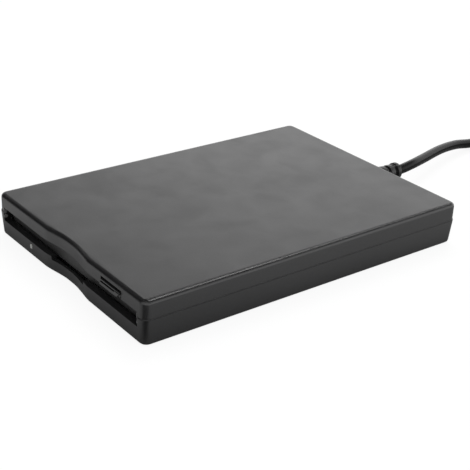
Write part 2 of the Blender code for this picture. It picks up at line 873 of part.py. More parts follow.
def make_lever():
    pivot = Vector((lever_pivot_x, lever_pivot_y, slider_low))
    angle = math.radians(180 + lever_start_deg)
    tip = pivot + Vector((math.cos(angle), math.sin(angle), 0)) * lever_reach
    facing = 180 + lever_start_deg
    outline = arc(tip, lever_width / 2, facing - 90, facing + 90, arc_steps)
    outline += arc(pivot, lever_hub_radius, facing + 90, facing + 270, arc_steps)
    lever = slab("shutter_lever", outline, slider_low, slider_top, parts)
    pins = [
        cylinder("lever_pin", lever_pin_radius, (tip.x, tip.y, bay_top - lever_pin_depth),
                 (tip.x, tip.y, slider_top - sheet / 2), tools, 16),
        cylinder("lever_pivot", lever_pivot_radius, (pivot.x, pivot.y, bay_top),
                 (pivot.x, pivot.y, slider_top - sheet / 2), tools, 16)]
    for pin in pins:
        pin.data.transform(Matrix.Translation(-pivot))
        pin.parent = lever
    join(lever, *pins)
    return finish(lever, steel, pivot)


# Spindle motor


def make_spindle():
    place = Vector((0, spindle_y, 0))
    up = Vector((0, 0, 1))
    stator_radius = rotor_radius - rotor_skirt - 2 * gap
    stator = cylinder("stator", stator_radius, place + up * stator_low,
                      place + up * (stator_low + stator_height), parts, 36)
    cut(stator, cylinder("stator_bore", stator_bore, place + up * (stator_low - overrun),
                         place + up * (stator_low + stator_height + overrun), tools, 36))
    for number in range(stator_teeth):
        slot = box(f"stator_slot_{number}", (stator_bore + stator_rim, stator_radius + overrun),
                   (-stator_slot / 2, stator_slot / 2),
                   (stator_low - overrun, stator_low + stator_height + overrun), tools)
        slot.data.transform(Matrix.Rotation(2 * math.pi * number / stator_teeth, 4, "Z"))
        slot.data.transform(Matrix.Translation(place))
        cut(stator, slot)
    finish(stator, copper)

    bush = cylinder("spindle_bush", bush_radius, place + up * stator_low,
                    place + up * (stator_low + stator_height), parts)
    cut(bush, cylinder("bush_bore", spindle_radius + gap, place + up * (stator_low - overrun),
                       place + up * (rotor_low + overrun), tools))
    finish(bush, brass)

    rotor = turned("spindle_rotor", (
        (0, hub_height + rotor_plate + hub_pin_height),
        (hub_pin_radius, hub_height + rotor_plate + hub_pin_height),
        (hub_pin_radius, hub_height + rotor_plate),
        (hub_radius, hub_height + rotor_plate),
        (hub_radius, rotor_plate),
        (rotor_radius, rotor_plate),
        (rotor_radius, -stator_height),
        (rotor_radius - rotor_skirt, -stator_height),
        (rotor_radius - rotor_skirt, 0),
        (spindle_radius, 0),
        (spindle_radius, -stator_height),
        (0, -stator_height)), place + up * rotor_low, up, parts, 30)
    pin = cylinder("drive_pin", drive_pin_radius, (drive_pin_reach, 0, rotor_plate),
                   (drive_pin_reach, 0, rotor_plate + hub_height + hub_pin_height), tools, 12)
    pin.parent = rotor
    join(rotor, pin)
    finish(rotor, steel)


# Head carriage, arm, lead screw, guide rod, bracket and stepper motor


def make_bracket():
    """A base plate with an ear at each end for the lead screw, and one for the guide rod."""
    left = screw_x - ear_half_width
    right = rod_x + ear_half_width
    back = rear_ear_y + sheet
    high = screw_z + ear_rise
    bracket = box("head_bracket", (left, right), (front_ear_y, back), (board_low, high), parts)
    cut(bracket,
        box("between_ends", (left - overrun, right + overrun), (front_ear_y + sheet, rear_ear_y),
            (board_top, high + overrun), tools),
        box("between_ears", (screw_x + ear_half_width, rod_x - ear_half_width),
            (front_ear_y - overrun, back + overrun), (board_top, high + 2 * overrun), tools))
    for number, (x, radius) in enumerate(((screw_x, screw_journal_radius), (rod_x, rod_radius)), 1):
        cut(bracket, cylinder(f"ear_bore_{number}", radius + gap / 2,
                              (x, front_ear_y - overrun, screw_z), (x, back + overrun, screw_z),
                              tools, 16))
    finish(bracket, steel)


def make_stepper():
    motor = cylinder("stepper_motor", motor_radius, (screw_x, motor_y, screw_z),
                     (screw_x, motor_y + motor_length, screw_z), parts, 32)
    cut(motor, cylinder("motor_bore", screw_journal_radius + gap, (screw_x, motor_y - overrun, screw_z),
                        (screw_x, motor_y + motor_length / 2, screw_z), tools, 16))
    finish(motor, steel)


def make_lead_screw():
    """A rod with one helical groove: a notched round section, pushed along and turned."""
    length = rear_ear_y - front_ear_y - sheet - 2 * gap
    bm = bmesh.new()
    ring = []
    for step in range(screw_facets):
        radius = screw_radius - (screw_groove if step == 0 else 0)
        angle = 2 * math.pi * step / screw_facets
        ring.append(bm.verts.new((radius * math.cos(angle), radius * math.sin(angle), 0)))
    face = bm.faces.new(ring)
    count = round(length / screw_lead * screw_steps_per_turn)
    for step in range(count):
        grown = bmesh.ops.extrude_face_region(bm, geom=[face])["geom"]
        if step:
            bmesh.ops.delete(bm, geom=[face], context="FACES_ONLY")
        face = next(item for item in grown if isinstance(item, bmesh.types.BMFace))
        turn = Matrix.Translation((0, 0, length / count))
        turn = turn @ Matrix.Rotation(2 * math.pi / screw_steps_per_turn, 4, "Z")
        bmesh.ops.transform(bm, matrix=turn, verts=face.verts)
    bmesh.ops.recalc_face_normals(bm, faces=bm.faces)
    screw = add_mesh("lead_screw", bm, parts)
    screw.location = (screw_x, front_ear_y + sheet + gap, screw_z)
    screw.rotation_euler.x = -math.pi / 2
    journals = (
        ("screw_tip", -sheet - gap, overrun),
        ("screw_tail", length - overrun, length + sheet + 2 * gap + motor_length / 3))
    for name, start, end in journals:
        journal = cylinder(name, screw_journal_radius, (0, 0, start), (0, 0, end), tools, 12)
        journal.parent = screw
        join(screw, journal)
    finish(screw, steel)


def make_guide_rod():
    rod = cylinder("guide_rod", rod_radius, (rod_x, front_ear_y - gap / 2, screw_z),
                   (rod_x, rear_ear_y + sheet + gap, screw_z), parts, 16)
    finish(rod, steel)


def make_carriage():
    carriage = box("head_carriage", (carriage_left, carriage_right), (block_y, block_back),
                   (sled_low + gap / 2, block_top), parts)
    join(carriage, box("sled", (-sled_half_width, sled_half_width),
                       (head_y - sled_nose, block_y + overrun), (sled_low, sled_top), tools))
    for side in (-1, 1):
        ear = sorted((side * (arm_half_width + gap), side * (arm_half_width + gap + arm_ear_width)))
        join(carriage, box(f"arm_ear_{side}", ear,
                           (arm_axis_y - arm_ear_half_length, arm_axis_y + arm_ear_half_length),
                           (block_top - overrun, arm_axis_z + arm_barrel_radius), tools))
    for name, x, radius in (("nut", screw_x, screw_radius), ("slider_bush", rod_x, rod_radius)):
        cut(carriage, cylinder(f"{name}_bore", radius + gap, (x, block_y - overrun, screw_z),
                               (x, block_back + overrun, screw_z), tools, 20))
    cut(carriage, cylinder("ear_pin_bore", arm_pin_radius + gap / 2,
                           (-frame_half, arm_axis_y, arm_axis_z), (frame_half, arm_axis_y, arm_axis_z),
                           tools, 12))
    finish(carriage, dark_plastic)

    half = head_size / 2
    lower = box("lower_head", (-half, half), (head_y - half, head_y + half),
                (sled_top + gap, sled_top + gap + lower_head_height), parts)
    finish(lower, ceramic)

    far = arm_half_width + gap + arm_ear_width
    pin = cylinder("arm_pin", arm_pin_radius, (-far, arm_axis_y, arm_axis_z),
                   (far, arm_axis_y, arm_axis_z), parts, 12)
    finish(pin, steel)


def make_arm():
    axis = Vector((0, arm_axis_y, arm_axis_z))
    nose = head_y - head_size
    shoulder = (nose + block_y) / 2
    rear = arm_axis_y + arm_thickness
    outline = [(-arm_tip_half_width, nose), (arm_tip_half_width, nose), (arm_half_width, shoulder),
               (arm_half_width, rear), (-arm_half_width, rear), (-arm_half_width, shoulder)]
    arm = slab("head_arm", outline, arm_low, arm_top, parts)
    pocket = head_size / 2 + gap
    window = box("head_pocket", (-pocket, pocket), (head_y - pocket, head_y + pocket),
                 (arm_low - overrun, arm_top + overrun), tools)
    barrel = cylinder("arm_barrel", arm_barrel_radius, (-arm_half_width, arm_axis_y, arm_axis_z),
                      (arm_half_width, arm_axis_y, arm_axis_z), tools, 12)
    hole = cylinder("arm_hole", arm_pin_radius + gap / 2, (-frame_half, arm_axis_y, arm_axis_z),
                    (frame_half, arm_axis_y, arm_axis_z), tools, 12)
    for tool in (window, barrel, hole):
        tool.data.transform(Matrix.Translation(-axis))
        tool.parent = arm
    cut(arm, window)
    join(arm, barrel)
    cut(arm, hole)
    finish(arm, dark_plastic, axis)

    half = head_size / 2
    top = arm_top - gap / 2
    head = box("upper_head", (-half, half), (head_y - half, head_y + half),
               (top - upper_head_height, top), parts)
    finish(head, ceramic, axis)


# Boards, light, switches and cables


def make_boards():
    left = -(frame_inner - board_side_gap)
    front = board_front
    back = spindle_y + rotor_radius + gap
    board = box("spindle_board", (left, spindle_board_right), (front, back), (board_low, board_top),
                parts)
    notch = light_size / 2 + gap
    cut(board, box("light_notch", (window_x - notch, window_x + notch),
                   (front - overrun, front + light_size + gap), (board_low - overrun, board_top + overrun),
                   tools))
    join(board, box("motor_chip", (left + chip_size, left + 2 * chip_size),
                    (front + 2 * chip_size, front + 3 * chip_size),
                    (board_top - board_thickness / 2, board_top + chip_height), tools))
    finish(board, board_green)

    left = spindle_board_right + gap
    right = frame_inner - board_side_gap
    back = main_board_back
    main = box("main_board", (left, right), (front, back), (board_low, board_top), parts)
    middle = (left + right) / 2
    low = board_top - board_thickness / 2
    join(main,
         box("control_chip", (middle - chip_size / 2, middle + chip_size / 2),
             (spindle_y - chip_size, spindle_y), (low, board_top + chip_height), tools),
         box("read_chip", (middle - chip_size / 2, middle + chip_size / 3),
             (spindle_y + chip_size, spindle_y + 2 * chip_size), (low, board_top + chip_height), tools),
         box("head_socket", (middle - socket_width / 2, middle + socket_width / 2),
             (back - socket_length - overrun, back - overrun), (low, board_top + chip_height), tools))
    finish(main, board_green)

    back = cavity_back - usb_board_end_gap
    front = back - usb_board_depth
    low = frame_low + gap
    high = low + usb_board_thickness
    bridge = box("usb_board", (-usb_board_half_width, usb_board_half_width), (front, back), (low, high),
                 parts)
    chip = usb_board_half_width / 2
    join(bridge,
         box("bridge_chip", (-chip - chip_size / 2, -chip + chip_size / 2),
             (front + overrun, front + overrun + chip_size / 2), (high - usb_board_thickness / 2,
                                                                  high + chip_height), tools),
         box("lead_header", (chip - socket_width / 2, chip + socket_width / 2),
             (front + overrun, front + overrun + socket_length), (high - usb_board_thickness / 2,
                                                                  high + 2 * chip_height), tools))
    finish(bridge, board_green)


def make_light():
    half = light_size / 2
    light = box("indicator_light", (window_x - half, window_x + half),
                (board_front, board_front + light_size), (board_low, board_low + light_height), parts)
    finish(light, lamp)

    low = slot_low - window_drop - window_height / 2 + pipe_play
    high = low + window_height - 2 * pipe_play
    wide = window_width / 2 - pipe_play
    step = frame_front - gap
    pipe = box("light_pipe", (window_x - wide, window_x + wide), (case_front + pipe_play, step),
               (low, high), parts)
    join(pipe, box("pipe_tail", (window_x - wide, window_x + wide), (step - overrun, board_front - gap),
                   (frame_top + gap, high), tools))
    finish(pipe, clear_plastic)


def switch_places():
    return (("write_protect", switch_x), ("density", -switch_x), ("disk_in", disk_switch_x))


def make_switches():
    low = board_top + gap
    high = low + switch_height
    for name, x in switch_places():
        body = box(f"{name}_switch", (x - switch_length / 2, x + switch_length / 2),
                   (switch_y - switch_width / 2, switch_y + switch_width / 2), (low, high), parts)
        cut(body, cylinder(f"{name}_bore", plunger_radius + gap,
                           (x, switch_y, high - plunger_depth - plunger_travel - gap / 2),
                           (x, switch_y, high + overrun), tools, 16))
        finish(body, dark_plastic)
        plunger = cylinder(f"{name}_plunger", plunger_radius, (x, switch_y, high - plunger_depth),
                           (x, switch_y, high + plunger_show), parts, 16)
        finish(plunger, white_plastic, (x, switch_y, high))


def make_head_cable():
    """A flat cable on edge: from the main board's socket, round one bend, to the carriage."""
    back = main_board_back
    near = carriage_right + gap
    far = near + 2 * ribbon_bend
    start = back - socket_length
    turn_y = block_back
    route = [(far + ribbon_thickness, start + gap)]
    route += arc((near + ribbon_bend, turn_y), ribbon_bend + ribbon_thickness, 0, 180, arc_steps)
    route += [(near - ribbon_thickness + gap, block_y + gap)]
    inner = [(near + ribbon_thickness, block_y + gap)]
    inner += arc((near + ribbon_bend, turn_y), ribbon_bend - ribbon_thickness, 180, 0, arc_steps)
    inner += [(far - ribbon_thickness, start + gap)]
    cable = slab("head_cable", route + inner, board_top + ribbon_rise - ribbon_width / 2,
                 board_top + ribbon_rise + ribbon_width / 2, parts)
    finish(cable, amber)


# Strain relief, lead, coil and plug


def relief_end():
    return case_back + gap + relief_length


def make_relief():
    profile = [(0, relief_length), (relief_tip_radius, relief_length)]
    ribbed = relief_length - relief_collar
    pitch = ribbed / relief_ribs
    for rib in range(relief_ribs):
        high = relief_length - rib * pitch
        share = rib / relief_ribs
        radius = relief_tip_radius + (relief_base_radius - relief_tip_radius) * share
        inner = radius - relief_groove_depth
        profile += [(radius, high - pitch + relief_groove), (inner, high - pitch + relief_groove),
                    (inner, high - pitch), (radius, high - pitch)]
    profile += [(relief_base_radius, 0), (relief_neck_radius, 0)]
    inside = -(back_wall + 2 * gap)
    profile += [(relief_neck_radius, inside), (relief_flange_radius, inside),
                (relief_flange_radius, inside - relief_flange_length),
                (0, inside - relief_flange_length)]
    clean = []
    for pair in profile:
        if not clean or abs(pair[0] - clean[-1][0]) > weld or abs(pair[1] - clean[-1][1]) > weld:
            clean.append(pair)
    relief = turned("strain_relief", clean, (0, case_back + gap, relief_height), (0, 1, 0), parts, 16)
    finish(relief, cord_rubber)


def smooth_route(points, step):
    """Evenly spaced points along a smooth curve through a route's own points."""
    ends = [points[0] * 2 - points[1]] + points + [points[-1] * 2 - points[-2]]
    fine = []
    for index in range(1, len(ends) - 2):
        before, first, second, after = ends[index - 1:index + 3]
        for part in range(16):
            t = part / 16
            fine.append(first * 2 * 0.5 + (second - before) * 0.5 * t
                        + (before * 2 - first * 5 + second * 4 - after) * 0.5 * t ** 2
                        + (first * 3 - before - second * 3 + after) * 0.5 * t ** 3)
    fine.append(points[-1])
    lengths = [0.0]
    for first, second in zip(fine, fine[1:]):
        lengths.append(lengths[-1] + (second - first).length)
    count = max(2, round(lengths[-1] / step))
    route = []
    index = 0
    for number in range(count + 1):
        want = lengths[-1] * number / count
        while index < len(fine) - 2 and lengths[index + 1] < want:
            index += 1
        share = (want - lengths[index]) / (lengths[index + 1] - lengths[index])
        route.append(fine[index].lerp(fine[index + 1], min(share, 1)))
    return route


cord_low = cord_radius + cord_floor_gap
coil_outer_radius = coil_inner_radius + coil_pitch * coil_turns / 2
coil_start = Vector((coil_centre_x - coil_outer_radius, coil_centre_y, cord_low))
coil_end = Vector((coil_centre_x + coil_outer_radius, coil_centre_y, cord_low + coil_pitch))
plug_route = [
    Vector((39.9, 174, 5.4)) * mm, Vector((42.6, 162.5, 3.8)) * mm, Vector((49.5, 154.5, 3.5)) * mm,
    Vector((58, 151.2, 3.9)) * mm]
plug_start = Vector((69, 150.5, 4.1)) * mm
lead_route = [
    Vector((-1.4, 100.5, 8.3)) * mm, Vector((-4.6, 110.4, 7.6)) * mm, Vector((-10.4, 127.6, 6.3)) * mm,
    Vector((-13.7, 141.6, 4.7)) * mm, Vector((-14.3, 152.8, 3)) * mm, Vector((-15, 163, 2.25)) * mm,
    Vector((-16, 175, 2.15)) * mm]


def make_cord():
    diameter = 2 * cord_radius
    start = Vector((0, relief_end() + gap, relief_height))
    points = [start, start + Vector((0, diameter, 0))] + lead_route
    points.append(coil_start - Vector((0, 2 * diameter + gap, 0)))
    points.append(coil_start - Vector((0, diameter + gap, 0)))
    finish(tube("usb_cord", smooth_route(points, 2 * diameter), cord_radius, 2, parts), cord_rubber)

    coil = coil_points()
    print("coil gap to itself, mm:", round(coil_gap(coil) / mm, 3))
    finish(tube("cord_coil", coil, cord_radius, 1, parts), cord_rubber)

    leave = coil_end - Vector((0, diameter + gap, 0))
    points = [leave, leave - Vector((0, diameter, 0))] + plug_route
    points += [plug_start - Vector((diameter + gap, 0, 0)), plug_start - Vector((gap, 0, 0))]
    finish(tube("plug_cord", smooth_route(points, 2 * diameter), cord_radius, 2, parts), cord_rubber)


def coil_points():
    """Turns that spiral in on the floor, climb a layer at the inside and spiral out on top."""
    points = [coil_start - Vector((0, 2 * cord_radius, 0))]
    count = round(coil_turns * coil_points_per_turn)
    half = coil_turns / 2
    for step in range(count + 1):
        turns = step / coil_points_per_turn
        radius = coil_inner_radius + coil_pitch * abs(turns - half)
        climb = min(1.0, max(0.0, (turns - half) / coil_climb_turns + 0.5))
        climb = climb * climb * (3 - 2 * climb)
        angle = math.pi - 2 * math.pi * turns
        points.append(Vector((coil_centre_x + radius * math.cos(angle),
                              coil_centre_y + radius * math.sin(angle), cord_low + coil_pitch * climb)))
    points.append(coil_end - Vector((0, 2 * cord_radius, 0)))
    return points


def coil_gap(points):
    """The least clear distance between stretches that are half a turn or more apart."""
    fine = []
    for first, second in zip(points, points[1:]):
        fine += [first.lerp(second, part / 3) for part in range(3)]
    apart = coil_points_per_turn * 3 // 2
    nearest = min((fine[i] - fine[j]).length
                  for i in range(len(fine)) for j in range(i + apart, len(fine)))
    return nearest - 2 * cord_radius


def make_leads():
    flange = case_back - back_wall - gap - relief_flange_length
    board_back = cavity_back - usb_board_end_gap
    header = usb_board_half_width / 2
    board_top_z = frame_low + gap + usb_board_thickness + 2 * chip_height
    front = board_back - usb_board_depth + overrun + socket_length / 2
    start = Vector((0, flange - gap, relief_height))
    straight = Vector((0, 2 * leads_radius, 0))
    end = Vector((header, front, board_top_z + gap))
    rise = Vector((0, 0, leads_radius))
    points = [start, start - straight, Vector((header / 3, front, relief_height)),
              end + rise * 3 - Vector((leads_radius, 0, 0)), end + rise, end]
    finish(tube("inner_leads", smooth_route(points, leads_radius), leads_radius, 2, parts), cord_rubber)


def make_plug():
    x = plug_start.x
    y = plug_start.y
    z = plug_start.z
    grip = box("plug_grip", (x, x + grip_length), (y - grip_width / 2, y + grip_width / 2),
               (z - grip_height / 2, z + grip_height / 2), parts)
    rounding = grip.modifiers.new("Edges", "BEVEL")
    rounding.width = grip_edge
    rounding.segments = 3
    socket = 6 * gap
    start = x + grip_length
    cut(grip, box("plug_seat", (start - socket, start + overrun),
                  (y - plug_width / 2 - gap, y + plug_width / 2 + gap),
                  (z - plug_height / 2 - gap, z + plug_height / 2 + gap), tools))
    finish(grip, cord_rubber)

    low = start - socket + gap
    shell = box("plug_shell", (low, start + plug_length), (y - plug_width / 2, y + plug_width / 2),
                (z - plug_height / 2, z + plug_height / 2), parts)
    inner_half = plug_width / 2 - plug_wall
    cut(shell, box("shell_bore", (low + plug_wall, start + plug_length + overrun),
                   (y - inner_half, y + inner_half),
                   (z - plug_height / 2 + plug_wall, z + plug_height / 2 - plug_wall), tools))
    for side in (-1, 1):
        middle = y + side * plug_width / 4
        for level, name in ((z + plug_height / 2, "top"), (z - plug_height / 2, "bottom")):
            cut(shell, box(f"shell_window_{name}_{side}",
                           (start + plug_length / 2, start + plug_length / 2 + plug_window),
                           (middle - plug_window / 2, middle + plug_window / 2),
                           (level - plug_wall - gap / 3, level + plug_wall + gap / 3), tools))
    finish(shell, steel)

    floor = z - plug_height / 2 + plug_wall + gap
    plate = box("plug_tongue", (low + plug_wall + gap, start + plug_length - gap),
                (y - inner_half + gap, y + inner_half - gap), (floor, floor + tongue_plate), parts)
    finish(plate, white_plastic)


clear_scene()
parts = new_collection("external_floppy_drive")
tools = new_collection("cutters")

plastic = surface("case_plastic", (0.09, 0.09, 0.095), 0.55)
dark_plastic = surface("dark_plastic", (0.06, 0.06, 0.065), 0.5)
grey_plastic = surface("flap_plastic", (0.2, 0.2, 0.2), 0.6)
white_plastic = surface("white_plastic", (0.8, 0.8, 0.78), 0.5)
clear_plastic = surface("light_pipe_plastic", (0.75, 0.78, 0.72), 0.2)
rubber = surface("foot_rubber", (0.03, 0.03, 0.03), 0.9)
cord_rubber = surface("lead_jacket", (0.03, 0.03, 0.032), 0.45)
steel = surface("zinc_steel", (0.62, 0.62, 0.6), 0.35, 1.0)
zinc = surface("screw_zinc", (0.5, 0.5, 0.5), 0.35, 1.0)
brass = surface("bush_brass", (0.7, 0.5, 0.25), 0.35, 1.0)
copper = surface("stator_winding", (0.65, 0.3, 0.15), 0.4, 1.0)
ceramic = surface("head_ceramic", (0.75, 0.74, 0.7), 0.3)
board_green = surface("board_laminate", (0.05, 0.22, 0.1), 0.5)
lamp = surface("lamp_lens", (0.6, 0.8, 0.5), 0.25)
amber = surface("cable_film", (0.6, 0.35, 0.1), 0.35)

make_top_cover()
make_bottom_cover()
make_feet()
make_screws()
make_frame()
make_shield()
make_flap()
make_slider()
make_button()
make_slider_springs()
make_carrier()
make_lever()
make_spindle()
make_bracket()
make_stepper()
make_lead_screw()
make_guide_rod()
make_carriage()
make_arm()
make_boards()
make_light()
make_switches()
make_head_cable()
make_relief()
make_cord()
make_leads()
make_plug()
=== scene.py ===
import math

import bmesh
import bpy
from mathutils import Matrix, Vector


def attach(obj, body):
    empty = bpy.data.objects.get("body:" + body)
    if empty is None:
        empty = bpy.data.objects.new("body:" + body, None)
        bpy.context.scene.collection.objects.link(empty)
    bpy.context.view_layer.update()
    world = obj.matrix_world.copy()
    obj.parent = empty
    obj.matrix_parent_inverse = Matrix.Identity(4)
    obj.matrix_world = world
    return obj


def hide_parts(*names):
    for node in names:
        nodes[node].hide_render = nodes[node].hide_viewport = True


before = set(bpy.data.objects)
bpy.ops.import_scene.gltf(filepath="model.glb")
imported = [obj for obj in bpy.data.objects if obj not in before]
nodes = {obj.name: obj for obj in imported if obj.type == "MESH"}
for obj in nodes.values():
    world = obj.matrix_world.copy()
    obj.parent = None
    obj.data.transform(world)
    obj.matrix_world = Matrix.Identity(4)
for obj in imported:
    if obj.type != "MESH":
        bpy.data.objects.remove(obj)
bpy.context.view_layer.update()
scene = bpy.context.scene
mm = 0.001
weldDistance = 0.0005 * mm
print("frame loaded:", len(nodes), "nodes")


# camera, fitted to the outline of the case in the photo
cameraSetup = {
    "azimuth": 51.574,     # degrees, 0 looks along +Y
    "elevation": 26.117,
    "roll": 2.816,
    "distance": 414.22 * mm,
    "aim": (0, 0.25 * mm, 8.2 * mm),
    "slideRight": -1.999 * mm,
    "slideUp": 6.671 * mm,
    "lens": 83.242,
    "sensorWidth": 36,
    "clipStart": 10 * mm,
}


def makeCamera(setup):
    azimuth, elevation, roll = (math.radians(setup[k]) for k in ("azimuth", "elevation", "roll"))
    look = Vector((-math.sin(azimuth) * math.cos(elevation),
                   math.cos(azimuth) * math.cos(elevation), -math.sin(elevation)))
    side = look.cross(Vector((0, 0, 1))).normalized()
    rise = side.cross(look)
    right = side * math.cos(roll) + rise * math.sin(roll)
    up = rise * math.cos(roll) - side * math.sin(roll)
    eye = Vector(setup["aim"]) - look * setup["distance"]
    eye -= right * setup["slideRight"] + up * setup["slideUp"]
    data = bpy.data.cameras.new("photoCamera")
    data.lens = setup["lens"]
    data.sensor_width = setup["sensorWidth"]
    data.clip_start = setup["clipStart"]
    camera = bpy.data.objects.new("photoCamera", data)
    camera.matrix_world = Matrix((
        (right.x, up.x, -look.x, eye.x), (right.y, up.y, -look.y, eye.y),
        (right.z, up.z, -look.z, eye.z), (0, 0, 0, 1)))
    scene.collection.objects.link(camera)
    scene.camera = camera


makeCamera(cameraSetup)
print("camera placed")


# small helpers for node trees

def addNode(tree, kind, inputs=None, **settings):
    node = tree.nodes.new(kind)
    for key, value in settings.items():
        setattr(node, key, value)
    for key, value in (inputs or {}).items():
        if isinstance(value, bpy.types.NodeSocket):
            tree.links.new(value, node.inputs[key])
        else:
            node.inputs[key].default_value = value
    return node


def addMath(tree, operation, first, second=None, clamp=False):
    inputs = {0: first}
    if second is not None:
        inputs[1] = second
    return addNode(tree, "ShaderNodeMath", inputs, operation=operation, use_clamp=clamp).outputs[0]


def addProduct(tree, first, *others):
    for other in others:
        first = addMath(tree, "MULTIPLY", first, other)
    return first


def addLargest(tree, first, *others):
    for other in others:
        first = addMath(tree, "MAXIMUM", first, other)
    return first


def addRamp(tree, value, ends, levels=(0.0, 1.0)):
    # goes from one level to the other while the value goes from one end to the other
    return addNode(tree, "ShaderNodeMapRange", {
        "Value": value, "From Min": ends[0], "From Max": ends[1], "To Min": levels[0], "To Max": levels[1]},
        clamp=True).outputs[0]


def addMix(tree, factor, first, second):
    return addNode(tree, "ShaderNodeMix", {"Factor": factor, "A": first, "B": second}).outputs[0]


# the studio: white for the camera, a plain level of light on the object, and for gloss a lit
# backdrop and walls, with dark between them; heights and sides are those of a direction
worldSetup = {
    "fill": 0.75,             # light that falls on the object from all round
    "backGlow": 1.5,          # the backdrop behind, low down
    "backTop": (0.50, 0.60),
    "backSide": (0.1, 0.56),
    "stripGlow": 9.0,         # a narrow lamp high behind
    "stripAim": (-0.08, 0.50, 0.86),
    "stripWidth": (0.985, 0.995),
    "rightGlow": 1.5,         # the foot of the wall at the right
    "rightTop": (0.12, 0.25),
    "rightSide": (0.2, 0.4),
    "frontGlow": 0.9,         # a wall at the front right, which the photo's view hardly reflects
    "frontTop": (0.75, 0.85),
    "frontSide": (0.4, 0.75),
    "leftGlow": 0.6,          # a wall at the far left, kept off the front so that the slot stays dark
    "leftSide": (0.8, 0.9),
    "leftEnd": (-0.15, 0.0),
    "darkGlow": 0.01,
}


def makeWorld(setup):
    world = bpy.data.worlds.new("studioWorld")
    world.use_nodes = True
    tree = world.node_tree
    tree.nodes.clear()
    direction = addNode(tree, "ShaderNodeTexCoord").outputs["Generated"]
    axes = addNode(tree, "ShaderNodeSeparateXYZ", {0: direction}).outputs
    low = addRamp(tree, axes["Z"], setup["backTop"], (1.0, 0.0))
    back = addProduct(tree, addRamp(tree, axes["Y"], setup["backSide"]), low, setup["backGlow"])
    near = addNode(tree, "ShaderNodeVectorMath", {0: direction, 1: Vector(setup["stripAim"]).normalized()},
                   operation="DOT_PRODUCT").outputs["Value"]
    strip = addRamp(tree, near, setup["stripWidth"], (0.0, setup["stripGlow"]))
    right = addProduct(tree, addRamp(tree, axes["X"], setup["rightSide"], (0.0, setup["rightGlow"])),
                       addRamp(tree, axes["Z"], setup["rightTop"], (1.0, 0.0)))
    frontRight = addMath(tree, "SUBTRACT", axes["X"], axes["Y"])
    front = addProduct(tree, addRamp(tree, frontRight, setup["frontSide"], (0.0, setup["frontGlow"])),
                       addRamp(tree, axes["Z"], setup["frontTop"], (1.0, 0.0)))
    leftward = addProduct(tree, axes["X"], -1.0)
    left = addProduct(tree, addRamp(tree, leftward, setup["leftSide"], (0.0, setup["leftGlow"])),
                      addRamp(tree, axes["Y"], setup["leftEnd"]), low)
    glossy = addMath(tree, "ADD", addLargest(tree, back, strip, right, front, left), setup["darkGlow"])
    path = addNode(tree, "ShaderNodeLightPath").outputs
    mirror = addMath(tree, "ADD", path["Is Glossy Ray"], path["Is Transmission Ray"], clamp=True)
    level = addMix(tree, mirror, setup["fill"], glossy)
    seen = addMix(tree, path["Is Camera Ray"], level, 1.0)
    light = addNode(tree, "ShaderNodeBackground", {"Color": (1, 1, 1, 1), "Strength": seen})
    out = addNode(tree, "ShaderNodeOutputWorld")
    tree.links.new(light.outputs[0], out.inputs["Surface"])
    scene.world = world


# the floor: nearly white for the camera, with the object's shadow; for gloss, a level for each side, with
# painted shade close to the case, off the near corner and below the lead
floorSetup = {
    "size": 4.0,
    "colour": (0.9, 0.9, 0.9, 1),
    "lit": 0.12,                         # share of the tone that comes from the light on it
    "caseHalf": (50 * mm, 71.4 * mm),
    "front": (0.68, 0.56),               # before the case, from left to right
    "frontFrom": (-60 * mm, 30 * mm),
    "behind": 0.3,                       # painted shade below the lead, seen only in gloss
    "behindFrom": (70 * mm, 80 * mm),
    "right": (0.465, 0.62),              # from the near corner to the middle
    "rightFrom": (-70 * mm, 0.0),
    "rightEdge": (45 * mm, 55 * mm),
    "contactShadeShare": (0.33, 0.55, 0.85),     # painted shade close to the case, seen only in gloss: before it, at the right, far right
    "contactShadeFrom": (30 * mm, 100 * mm),
    "contactShadeReach": 16 * mm,
    "farFrom": (85 * mm, 130 * mm),      # here the lit wall begins
    "cornerShade": (52 * mm, -73 * mm),         # painted shade off the near corner, seen only in gloss
    "cornerShadeFade": 4 * mm,
    "cornerShadeDepth": 0.9,
}


